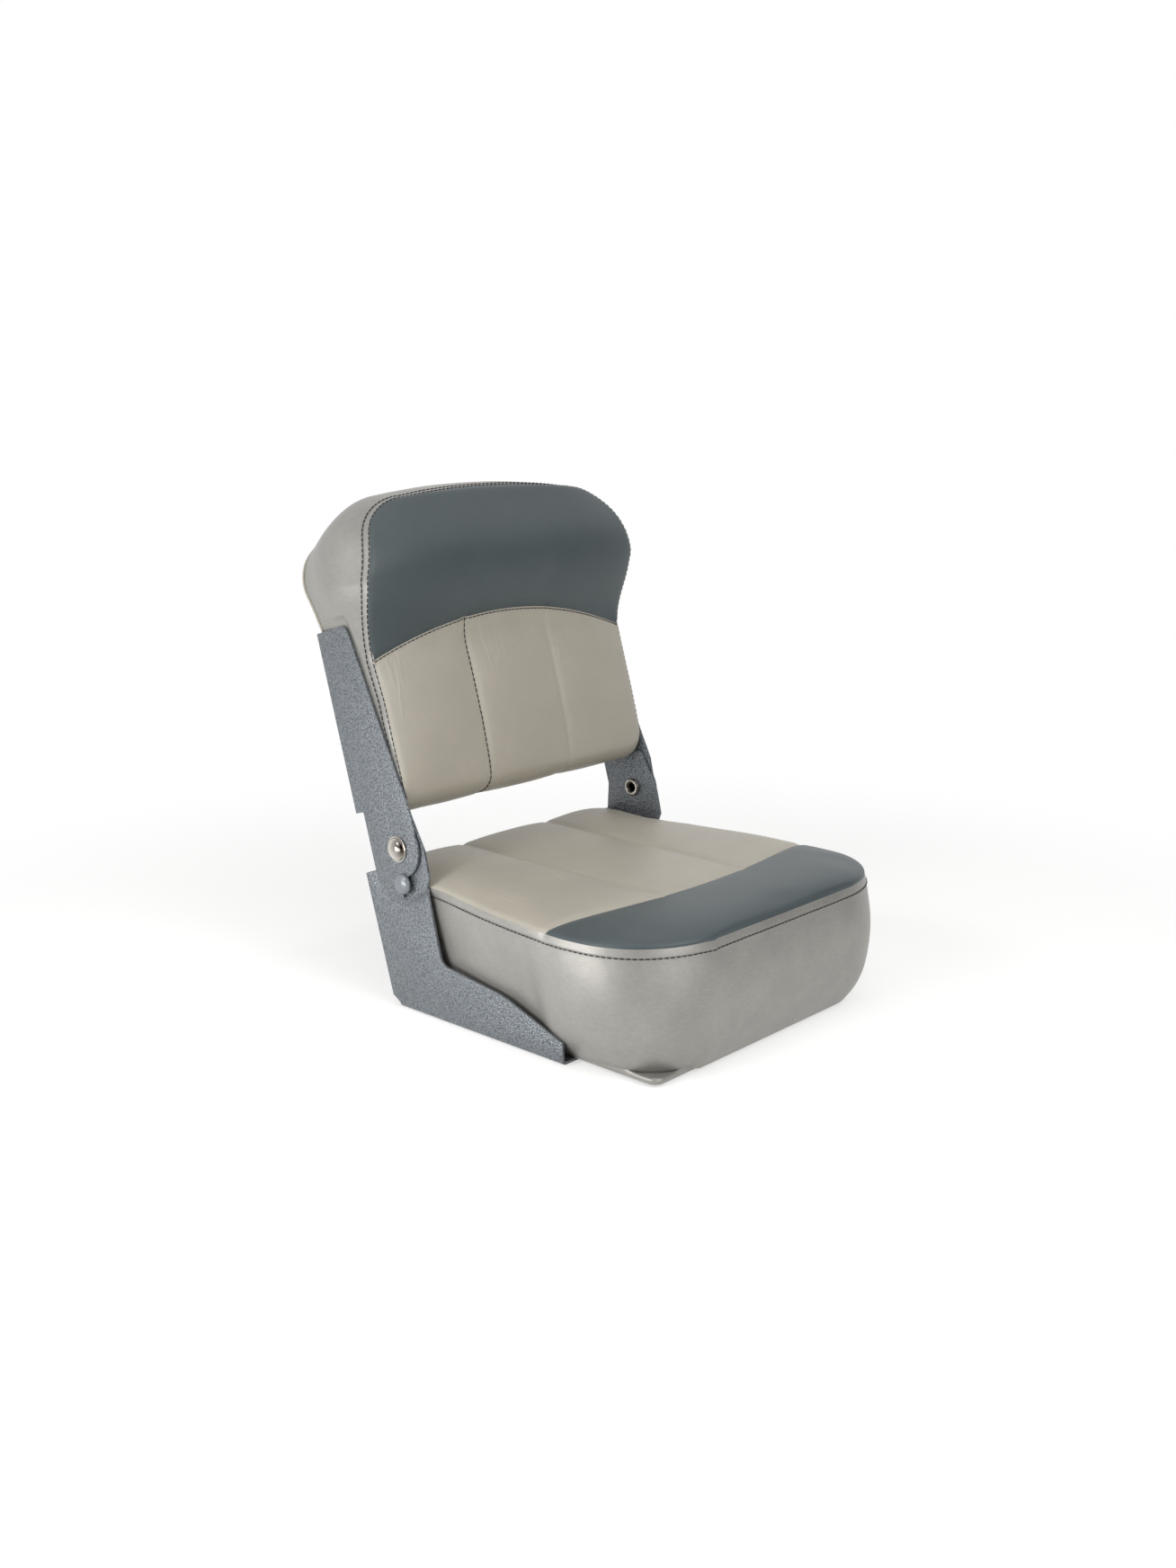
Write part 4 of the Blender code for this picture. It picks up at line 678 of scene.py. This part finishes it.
def walk(path, distance):
    # the point a given way along a row of points
    left = distance
    for a, b in zip(path, path[1:]):
        step = np.linalg.norm(b - a)
        if step >= left:
            return a + (b - a) * (left / step)
        left -= step
    return path[-1]


def stitchRun(run, tree):
    # evenly spaced places along a sewn line, each with its direction and the cover's normal
    run = np.array(run)
    steps = np.concatenate([[0], np.cumsum(np.linalg.norm(np.diff(run, axis=0), axis=1))])
    count = int(steps[-1] / stitch["pitch"])
    places = []
    for middle in (np.arange(count) + 0.5) * steps[-1] / count:
        ends = [np.array([np.interp(middle + shift, steps, run[:, k]) for k in range(3)])
                for shift in (-stitch["reach"], stitch["reach"])]
        spot, normal, _, _ = tree.find_nearest(Vector((ends[0] + ends[1]) / 2))
        places.append((spot, Vector(ends[1] - ends[0]).normalized(), normal))
    return places


def stitchMesh(name, places, body):
    # all the stitches of a cover: short threads with rounded ends
    sideCount, profile = stitch["sides"], stitch["profile"]
    ring = [(cos(a), sin(a)) for a in np.linspace(0, 2 * pi, sideCount + 1)[:-1]]
    points, faces = [], []
    for spot, along, normal in places:
        side = along.cross(normal).normalized()
        up = side.cross(along)
        start = len(points)
        for share, size, lift in profile:
            middle = spot + along * (share * stitch["length"]) + up * (stitch["lift"] + lift * stitch["thick"])
            points += [middle + (side * c + up * s) * (stitch["thick"] * size) for c, s in ring]
        for k in range(len(profile) - 1):
            for n in range(sideCount):
                a, b = start + sideCount * k + n, start + sideCount * k + (n + 1) % sideCount
                faces.append((a, b, b + sideCount, a + sideCount))
        faces.append(tuple(range(start + sideCount - 1, start - 1, -1)))
        faces.append(tuple(range(len(points) - sideCount, len(points))))
    piece = newPiece(name, points, [], faces, finish["thread"])
    bm = bmesh.new()
    bm.from_mesh(piece.data)
    bmesh.ops.recalc_face_normals(bm, faces=bm.faces)
    bm.to_mesh(piece.data)
    bm.free()
    piece.data.shade_smooth()
    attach(piece, body)


def alongRim(points, rings, distance):
    # a row of places on the side strip, a given way from its seam
    return [walk([points[ring[k]] for ring in rings], distance) for k in range(len(rings[0]))]


def surfaceTree(piece):
    return BVHTree.FromObject(piece, bpy.context.evaluated_depsgraph_get())


bpy.context.view_layer.update()
seatPoints, seatTree = pointsOf(seatCover), surfaceTree(seatCover)
topStitch = alongRim(seatPoints, seatRings, looks["hem"])
stitchMesh("seatTopstitch", stitchRun(topStitch + topStitch[:1], seatTree), "seat")

backPoints, backTree = pointsOf(backCover), surfaceTree(backCover)
bandRun, channelRun = [], []
for i in range(backFace.shape[1]):
    path = [backPoints[gridIndex(backFace, backBandRow - step, i)] for step in range(4)]
    bandRun.append(walk(path, stitch["band"]))
for j in range(1, backBandRow + 1):
    path = [backPoints[gridIndex(backFace, j, backChannels[0] + step)] for step in range(3)]
    channelRun.append(walk(path, stitch["channel"]))
backRuns = [alongRim(backPoints, backRings, distance) for distance in (looks["hem"], stitch["rim"])]
backRuns += [bandRun, channelRun]
stitchMesh("backStitches", sum((stitchRun(run, backTree) for run in backRuns), []), "backrest")

coverThick = 0.0012


def splitCover(cover, names, body):
    # one skin per finish, each with the vinyl's own thickness inward
    takeOnly(cover)
    bpy.ops.object.mode_set(mode="EDIT")
    bpy.ops.mesh.separate(type="MATERIAL")
    bpy.ops.object.mode_set(mode="OBJECT")
    pieces = {}
    for piece in list(bpy.context.selected_objects):
        material = piece.data.materials[piece.data.polygons[0].material_index]
        used = coverFinishes.index(material)
        piece.data.materials.clear()
        piece.data.materials.append(material)
        piece.data.polygons.foreach_set("material_index", [0] * len(piece.data.polygons))
        piece.name = piece.data.name = names[used]
        pieces[used] = piece
    for used, piece in pieces.items():
        applied(piece, "vinyl", "SOLIDIFY", thickness=coverThick, offset=-1)
        smoothBy(piece, 50)
        for group in list(piece.vertex_groups):
            piece.vertex_groups.remove(group)
        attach(piece, body)
    return pieces


seatPieces = splitCover(seatCover, ["seatFrontBand", "seatTopPanels", "seatBoxing"], "seat")
backPieces = splitCover(backCover, ["backHeadPanel", "backFrontPanels", "backBoxing"], "backrest")
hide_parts("seat_front_band")
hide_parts("seat_panel_left", "seat_panel_centre", "seat_panel_right")
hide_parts("seat_boxing", "seat_foam")
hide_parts("back_head_panel")
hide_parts("back_panel_left", "back_panel_centre", "back_panel_right")
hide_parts("back_boxing", "back_foam")

print("rear cover and wrapped board")


def skin(piece, thickness, slotName, body, *replaced):
    # finer, then as thick as the vinyl, inward
    applied(piece, "finer", "SUBSURF", levels=1, render_levels=1)
    applied(piece, "vinyl", "SOLIDIFY", thickness=thickness, offset=-1)
    smoothBy(piece, 50)
    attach(piece, body)
    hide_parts(*replaced)


# rear cover: how far it stands off the board, its fill behind the head, its edge as steps outward and forward
rearPad = {
    "off": 0.0015, "fill": 0.0035, "from": (0.25, 0.03), "middle": 0.295, "reach": 0.05, "thick": 0.001,
    "edge": ((0, 0), (0.0009, 0.0003), (0.0013, 0.0012), (0.0012, 0.0035)),
}


def rearCover():
    # stretched over the back board, filled behind the head, its edge turned in over the side strip
    grid = backRear.copy()
    half = grid[:, -1, 0][:, None]
    x, z = grid[:, :, 0].copy(), grid[:, :, 2].copy()
    full = np.clip((1 - (x / half) ** 4) * (1 - ((z - rearPad["middle"]) / rearPad["reach"]) ** 2), 0, None)
    grid[:, :, 1] += rearPad["off"] + rearPad["fill"] * rise(z, 1, *rearPad["from"]) * full
    grid = grid[:, ::-1]
    rows, columns = grid.shape[:2]
    loop = rimOf(rows, columns)
    rim = np.array([grid[j, i] for j, i in loop])
    out = np.zeros_like(rim)
    for k, (j, i) in enumerate(loop):
        out[k, 0] = 1.0 if i == 0 else -1.0 if i == columns - 1 else 0.0
        out[k, 2] = 1.0 if j == rows - 1 else -1.0 if j == 0 else 0.0
    out /= np.linalg.norm(out, axis=1)[:, None]
    forward = np.array([0.0, -1.0, 0.0])
    levels = [leaned(rim + out * a + forward * b) for a, b in rearPad["edge"]]
    beige = [finish["beige_vinyl"]]
    piece, _ = coverMesh("backRearCover", leaned(grid), levels, loop, True, lambda j: 0, 0, beige)
    skin(piece, rearPad["thick"], "beige_vinyl", "backrest", "back_rear_cover")


rearCover()

# the wrap's rings as steps outward and heights: under the board, then round its edge to its top
board = {
    "half": 0.17, "front": -0.2261, "rear": 0.117, "corner": 0.0105, "round": 0.05, "step": 0.008,
    "under": ((-0.022, 0.0031), (-0.012, 0.0031), (-0.0012, 0.0031),
              (-0.0003, 0.0034), (0.0002, 0.0042), (0.0007, 0.0062)),
    "over": ((0.0005, -0.001), (-0.0003, -0.0002), (-0.0014, 0)),
    "top": 0.0094, "topRise": (0.0046, 0.028, 0.02), "wrapThick": 0.0009,
    "foldBack": 0.03, "foldIn": 0.0012, "foldSwell": 0.0006, "foldThick": 0.0006,
}


def boardWrap():
    # vinyl drawn round the board's edge and under it; its left corner shows below the side strip
    outline, out = [], []
    for k, (sx, sy) in enumerate(((1, -1), (1, 1), (-1, 1), (-1, -1))):
        radius = board["round"] if k == 0 else board["corner"]
        end = board["front"] if sy < 0 else board["rear"]
        middle = np.array([sx * (board["half"] - radius), end - sy * radius])
        for turn in np.linspace(0, pi / 2, 9) + (k - 1) * pi / 2:
            away = np.array([cos(turn), sin(turn)])
            outline.append(middle + away * radius)
            out.append(away)
    points, away = [], []
    for a, da, b, db in zip(outline, out, outline[1:] + outline[:1], out[1:] + out[:1]):
        count = max(1, int(np.linalg.norm(b - a) / board["step"]))
        for k in range(count):
            points.append(a + (b - a) * k / count)
            away.append(da + (db - da) * k / count)
    points, away = np.array(points), np.array(away)
    away /= np.linalg.norm(away, axis=1)[:, None]
    fromCorner = np.maximum(board["half"] + points[:, 0], points[:, 1] - board["front"])
    top = board["top"] + rise(fromCorner, *board["topRise"])
    edge = list(board["under"]) + [(grow, top + z) for grow, z in board["over"]]
    rings = [np.column_stack([points + away * grow, np.full(len(points), z)]) for grow, z in edge]
    count = len(points)
    faces = []
    for k in range(len(rings) - 1):
        for n in range(count):
            a, b = k * count + n, k * count + (n + 1) % count
            faces.append((a, b, b + count, a + count))
    piece = newPiece("boardWrap", np.vstack(rings).tolist(), [], faces, finish["silver_vinyl"])
    skin(piece, board["wrapThick"], "silver_vinyl", "seat", "seat_board_wrap")


def cornerFold():
    # the wrap's spare vinyl folded flat over the board's left front corner
    bpy.ops.mesh.primitive_grid_add(x_subdivisions=12, y_subdivisions=12, size=1)
    fold = bpy.context.object
    fold.name = fold.data.name = "cornerFold"
    middle = np.array([board["half"] - board["corner"], board["front"] + board["corner"]])
    inX = (middle[0] - board["foldBack"], middle[0] - board["foldBack"], board["half"] - board["foldIn"])
    inY = (board["front"] + board["foldIn"], middle[1] + board["foldBack"], middle[1] + board["foldBack"])
    spots = []
    for x, y, _ in pointsOf(fold) + 0.5:
        turn = (y - 0.5) * pi / 2 + pi / 4
        edge = middle + np.array([sin(turn), -cos(turn)]) * (board["corner"] - board["foldIn"])
        inside = np.array([np.interp(y, (0, 0.5, 1), inX), np.interp(y, (0, 0.5, 1), inY)])
        spot = edge + (inside - edge) * (1 - x)
        spots.append((-spot[0], spot[1], board["top"] - 0.0001 + board["foldSwell"] * sin(pi * y) * x))
    setPoints(fold, spots)
    if fold.data.polygons[0].normal.z < 0:
        fold.data.flip_normals()
    fold.data.materials.append(finish["silver_vinyl"])
    applied(fold, "vinyl", "SOLIDIFY", thickness=board["foldThick"], offset=-1)
    smoothBy(fold, 50)
    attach(fold, "seat")


boardWrap()
cornerFold()

print("metalwork")

# radius of the eased edges
edges = {"frame": 0.0006, "board": 0.0008, "nut": 0.0003}


def softened(name, label, body, width, slotName):
    # the CAD piece merged into whole faces, its edges eased as pressing and paint leave them
    piece = nodes[name].copy()
    piece.data = nodes[name].data.copy()
    piece.name = piece.data.name = label
    bpy.context.collection.objects.link(piece)
    takeOnly(piece)
    bpy.ops.object.mode_set(mode="EDIT")
    bpy.ops.mesh.select_all(action="SELECT")
    bpy.ops.mesh.remove_doubles(threshold=0.00002)
    bpy.ops.mesh.dissolve_limited(angle_limit=radians(1))
    bpy.ops.object.mode_set(mode="OBJECT")
    applied(piece, "eased edges", "BEVEL", limit_method="ANGLE", angle_limit=radians(28),
            width=width, segments=3)
    smoothBy(piece, 32)
    piece.data.materials.clear()
    piece.data.materials.append(finish[slotName])
    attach(piece, body)
    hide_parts(name)
    return piece


def cutAway(piece, size, place, turn=0.0):
    # take a box out of a piece
    bpy.ops.mesh.primitive_cube_add(size=1, location=place, rotation=(0, 0, turn))
    box = bpy.context.object
    box.scale = size
    bpy.ops.object.transform_apply(location=False, rotation=False, scale=True)
    applied(piece, "cut", "BOOLEAN", object=box, solver="EXACT")
    bpy.data.objects.remove(box)


softened("seat_frame", "seatFrame", "seat", edges["frame"], "hammer_paint")
softened("back_frame", "backFrame", "backrest", edges["frame"], "hammer_paint")
seatBoard = softened("seat_board", "seatBoard", "seat", edges["board"], "plywood")
# left front corner planed down under its fold, right one cut off
cutAway(seatBoard, (0.06, 0.06, 0.06), (-0.1685, -0.2246, 0.0385), pi / 4)
cutAway(seatBoard, (0.058, 0.058, 0.058), (0.1685, -0.2246, 0.01), pi / 4)
softened("back_board", "backBoard", "backrest", edges["board"], "plywood")
for number in range(1, 5):
    softened(f"seat_tee_nut_{number}", f"teeNut{number}", "seat", edges["nut"], "zinc_plate")


def swept(label, profile, finishName, steps):
    # a profile of heights and radii swept round the X axis
    points = [(h, r, 0) for h, r in profile]
    piece = newPiece(label, points, [(k, k + 1) for k in range(len(profile) - 1)], [], finish[finishName])
    applied(piece, "sweep", "SCREW", axis="X", steps=steps, render_steps=steps,
            use_merge_vertices=True, merge_threshold=0.000002)
    bpy.ops.object.mode_set(mode="EDIT")
    bpy.ops.mesh.select_all(action="SELECT")
    bpy.ops.mesh.remove_doubles(threshold=0.000002)
    bpy.ops.mesh.normals_make_consistent(inside=False)
    bpy.ops.object.mode_set(mode="OBJECT")
    return piece


def arc(h, r, wide, high, start, stop, count):
    return [(h + high * cos(a), r + wide * sin(a)) for a in np.radians(np.linspace(start, stop, count))]


def copyTo(piece, label, place, body, node=""):
    # its own mesh for each copy, with the place in the mesh
    other = piece.copy()
    other.data = piece.data.copy()
    other.name = other.data.name = label
    other.data.transform(place)
    if place.determinant() < 0:
        other.data.flip_normals()
    bpy.context.collection.objects.link(other)
    smoothBy(other, 35)
    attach(other, body)
    if node:
        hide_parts(node)


def pieceName(kind):
    first, *rest = kind.split("_")
    return first + "".join(word.title() for word in rest)


def bothSides(at):
    hands = (("left", -1), ("right", 1))
    return [(hand, Matrix.Translation(at) @ Matrix.Diagonal((side, 1, 1, 1))) for hand, side in hands]


# hollow rivet: polished dome on a thin flange outside, tube curled over inside the ear
rivet = arc(0.1882, 0, 0.0122, 0.0062, 0, 84, 12) + arc(0.1879, 0.0132, 0.0006, 0.0005, -20, 90, 5)
rivet += [(0.187, 0.0138), (0.187, 0.0066), (0.1792, 0.0066)] + arc(0.1773, 0.0084, 0.0019, 0.0019, 20, 180, 9)
rivet += [(0.1758, 0.0063), (0.1766, 0.0055), (0.178, 0.0052), (0.1866, 0.0052), (0.1867, 0)]
washer = [(0.1826, 0.0069), (0.1826, 0.0147), (0.1829, 0.015), (0.1833, 0.015), (0.1836, 0.0147), (0.1836, 0.0069),
          (0.1826, 0.0069)]
# stop post: low domed head outside the ear, shank and upset end inside
stop = arc(0.1895, 0, 0.0104, 0.0042, 0, 80, 10) + arc(0.1889, 0.0102, 0.0006, 0.0012, 10, 90, 5)
stop += [(0.1873, 0.0107), (0.1873, 0.0049), (0.1826, 0.0049), (0.1826, 0.004), (0.1809, 0.004)]
stop += [(0.1795, 0.0054), (0.1795, 0)]
# dark lining inside each rivet's bore: painted shade
bore = [(0.1772, 0.005), (0.1785, 0.0049), (0.186, 0.0047), (0.1863, 0)]

pivotAt = (0, hinge["y"], hinge["z"])
stopPost = {"reach": 0.0362, "turn": radians(3.7)}
stopWay = (0.0, sin(stopPost["turn"]), -cos(stopPost["turn"]))
stopAt = leaned([stopPost["reach"] * way for way in stopWay])
roundSteps = {"rivet": 48, "screw": 24}
for kind, profile, finishName, slotName, at in (("pivot_rivet", rivet, "chrome", "chrome", pivotAt),
                                                ("pivot_washer", washer, "zinc_plate", "zinc_plate", pivotAt),
                                                ("stop_rivet", stop, "smooth_paint", "hammer_paint", stopAt)):
    piece = swept(kind + "Blank", profile, finishName, roundSteps["rivet"])
    for hand, place in bothSides(at):
        copyTo(piece, pieceName(f"{kind}_{hand}"), place, "seat", f"{kind}_{hand}")
    bpy.data.objects.remove(piece)

# screws: pan heads behind the back, flat heads under the seat, a cross recess in each
pan = arc(-0.0012, 0, 0.004, 0.0013, 180, 100, 7) + [(-0.0008, 0.0042), (-0.0003, 0.0042), (-0.0003, 0.0021)]
pan += [(0.0092, 0.0021), (0.0113, 0)]
flat = [(0.0003, 0), (0.0003, 0.004), (0.0005, 0.0042), (0.0024, 0.0021), (0.0092, 0.0021), (0.0113, 0)]
recess = {"deep": 0.0013, "wide": 0.001, "long": 0.0046}
backScrew = {"y": 0.057, "low": 0.075, "high": 0.205}
for kind, profile, body in (("back_screw", pan, "backrest"), ("seat_screw", flat, "seat")):
    piece = swept(kind + "Blank", profile, "zinc_plate", roundSteps["screw"])
    for wide, long in ((recess["wide"], recess["long"]), (recess["long"], recess["wide"])):
        cutAway(piece, (recess["deep"] * 2, wide, long), (profile[0][0], 0, 0))
    for number in range(1, 7):
        low, high = (Vector(corner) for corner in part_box(f"{kind}_{number}"))
        middle = (low + high) / 2
        if kind == "seat_screw":
            place = Matrix.Translation((middle.x, middle.y, 0)) @ Euler((0, -pi / 2, 0)).to_matrix().to_4x4()
        else:
            z = backScrew["low"] if number % 2 else backScrew["high"]
            spot = leaned((middle.x, backScrew["y"], z))
            place = Matrix.Translation(spot) @ Matrix.Rotation(-hinge["lean"], 4, "X")
            place = place @ Euler((0, 0, -pi / 2)).to_matrix().to_4x4()
        copyTo(piece, pieceName(kind) + str(number), place, body, f"{kind}_{number}")
    bpy.data.objects.remove(piece)

piece = swept("boreBlank", bore, "bore", roundSteps["screw"])
for hand, place in bothSides(pivotAt):
    copyTo(piece, "rivetBore" + hand.title(), place, "seat")
bpy.data.objects.remove(piece)

staple = {"long": 0.011, "wide": 0.0011, "high": 0.0006, "pitch": 0.022, "inset": 0.011, "z": 0.0031,
          "frontReach": 0.148, "rearReach": 0.1}


def stapleRow(label, y, reach):
    # wire staples through the lip under the board: one bent crown, repeated
    count = int(2 * reach / staple["pitch"])
    bpy.ops.mesh.primitive_cube_add(size=1, location=(-reach, y, staple["z"]))
    piece = bpy.context.object
    piece.scale = (staple["long"], staple["wide"], staple["high"])
    bpy.ops.object.transform_apply(location=True, rotation=False, scale=True)
    piece.name = piece.data.name = label
    applied(piece, "wire", "BEVEL", width=staple["high"] * 0.45, segments=2)
    applied(piece, "row", "ARRAY", use_relative_offset=False, use_constant_offset=True,
            constant_offset_displace=(2 * reach / count, 0, 0), count=count + 1)
    smoothBy(piece, 40)
    piece.data.materials.append(finish["zinc_plate"])
    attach(piece, "seat")


stapleRow("frontStaples", board["front"] + staple["inset"], staple["frontReach"])
stapleRow("rearStaples", board["rear"] - staple["inset"], staple["rearReach"])

print("studio")

studio = {
    "horizon": 0.25, "zenith": 0.4, "floor": "dcdcda", "floorGlow": 0.5,
    "floorClear": (0.4, 1.1), "flag": "1c1c1c",
    # place, aim, width and height in m, power in W
    "lights": {
        "left softbox": ((-1.75, 0.1, 1.15), (0, 0, 0.2), (1.0, 0.7), 6.5),
        "low softbox": ((-0.85, 0.1, 0.12), (-0.1, -0.05, 0.08), (0.6, 0.2), 2.9),
        "front softbox": ((-0.1, -1.25, 0.88), (0, 0, 0.35), (0.7, 0.7), 8.0),
        "fill softbox": ((-0.5, -1.65, 0.4), (-0.05, 0, 0.2), (0.5, 0.5), 1.4),
        "top softbox": ((-0.2, -0.55, 2.0), (0, 0, 0.2), (1.6, 1.6), 5.6),
        "spark lamp": ((-1.37, 0.29, 1.03), (-0.18, 0.12, 0.15), (0.25, 0.25), 3.5),
    },
    # place, aim, width and height
    "flags": {
        "rightFlag": ((0.95, -1.15, 0.55), (0, 0, 0.3), (1.4, 1.1)),
        "cameraFlag": ((-1.9, -1.55, 1.0), (0, 0, 0.2), (1.5, 1.6)),
    },
}


def seenRays(tree):
    # rays that the eye follows: straight, mirrored or through glass
    ray = addNode(tree, "LightPath", {}, {})
    shiny = addNode(tree, "Math", {"operation": "MAXIMUM"},
                    {0: (ray, "Is Glossy Ray"), 1: (ray, "Is Transmission Ray")})
    return addNode(tree, "Math", {"operation": "MAXIMUM"}, {0: (ray, "Is Camera Ray"), 1: (shiny, "Value")})


def aimed(place, target, axis):
    return (Vector(target) - Vector(place)).to_track_quat(axis, "Y").to_euler()


world = bpy.data.worlds.new("studio")
bpy.context.scene.world = world
tree = emptyTree(world)
direct = seenRays(tree)
place = addNode(tree, "TexCoord", {}, {})
split = addNode(tree, "SeparateXYZ", {}, {"Vector": (place, "Generated")})
heights = {"From Min": 0.0, "From Max": 0.8, "To Min": studio["horizon"], "To Max": studio["zenith"]}
fade = addNode(tree, "MapRange", heights, {"Value": (split, "Z")})
soft = addNode(tree, "Background", {"Color": (1, 1, 1, 1)}, {"Strength": (fade, "Result")})
white = addNode(tree, "Background", {"Color": (1, 1, 1, 1), "Strength": 1.0}, {})
mixed = addNode(tree, "MixShader", {}, {0: (direct, "Value"), 1: (soft, "Background"), 2: (white, "Background")})
addNode(tree, "OutputWorld", {}, {"Surface": (mixed, "Shader")})

bpy.ops.mesh.primitive_plane_add(size=30, location=(0, 0, -0.0004))
floor = bpy.context.object
floor.name = "studioFloor"
material = bpy.data.materials.new("white sweep")
tree = emptyTree(material)
# pale sweep that takes the seat's shadow near it and runs out to plain white
direct = seenRays(tree)
place = addNode(tree, "TexCoord", {}, {})
reach = addNode(tree, "VectorMath", {"operation": "LENGTH"}, {0: (place, "Object")})
far = addNode(tree, "MapRange", {"interpolation_type": "SMOOTHSTEP", "From Min": studio["floorClear"][0],
                                 "From Max": studio["floorClear"][1]}, {"Value": (reach, "Value")})
paper = addNode(tree, "BsdfDiffuse", {"Color": hexColour(studio["floor"])}, {})
glow = addNode(tree, "Emission", {"Strength": studio["floorGlow"]}, {})
near = addNode(tree, "AddShader", {}, {0: (paper, "BSDF"), 1: (glow, "Emission")})
plain = addNode(tree, "Emission", {"Strength": 1.0}, {})
seen = addNode(tree, "MixShader", {}, {0: (far, "Result"), 1: (near, "Shader"), 2: (plain, "Emission")})
both = addNode(tree, "MixShader", {}, {0: (direct, "Value"), 1: (paper, "BSDF"), 2: (seen, "Shader")})
addNode(tree, "OutputMaterial", {}, {"Surface": (both, "Shader")})
floor.data.materials.append(material)


def softLight(name, place, target, size, power):
    light = bpy.data.lights.new(name, "AREA")
    light.shape = "RECTANGLE"
    light.size, light.size_y = size
    light.energy = power
    lamp = bpy.data.objects.new(name, light)
    lamp.location = place
    lamp.rotation_euler = aimed(place, target, "-Z")
    bpy.context.collection.objects.link(lamp)


def darkFlag(name, place, target, size):
    # dark card out of view: it gives the plated domes and the pearl vinyl something dark to mirror
    bpy.ops.mesh.primitive_plane_add(size=1, location=place)
    card = bpy.context.object
    card.name = card.data.name = name
    card.scale = (*size, 1)
    card.rotation_euler = aimed(place, target, "Z")
    card.data.materials.append(cardMaterial)
    card.visible_camera = False


for name, values in studio["lights"].items():
    softLight(name, *values)
cardMaterial, _, _ = newMaterial("black card", {"Base Color": hexColour(studio["flag"]), "Roughness": 0.9})
for name, values in studio["flags"].items():
    darkFlag(name, *values)

camera = bpy.data.objects.new("camera", bpy.data.cameras.new("camera"))
bpy.context.collection.objects.link(camera)
camera.location = (-1.2588, -1.1376, 0.62965)
camera.rotation_euler = Vector((0.71744, 0.65652, -0.233)).to_track_quat("-Z", "Y").to_euler()
camera.data.sensor_fit = "VERTICAL"
camera.data.sensor_height = 36
camera.data.lens = 38.135
bpy.context.scene.camera = camera
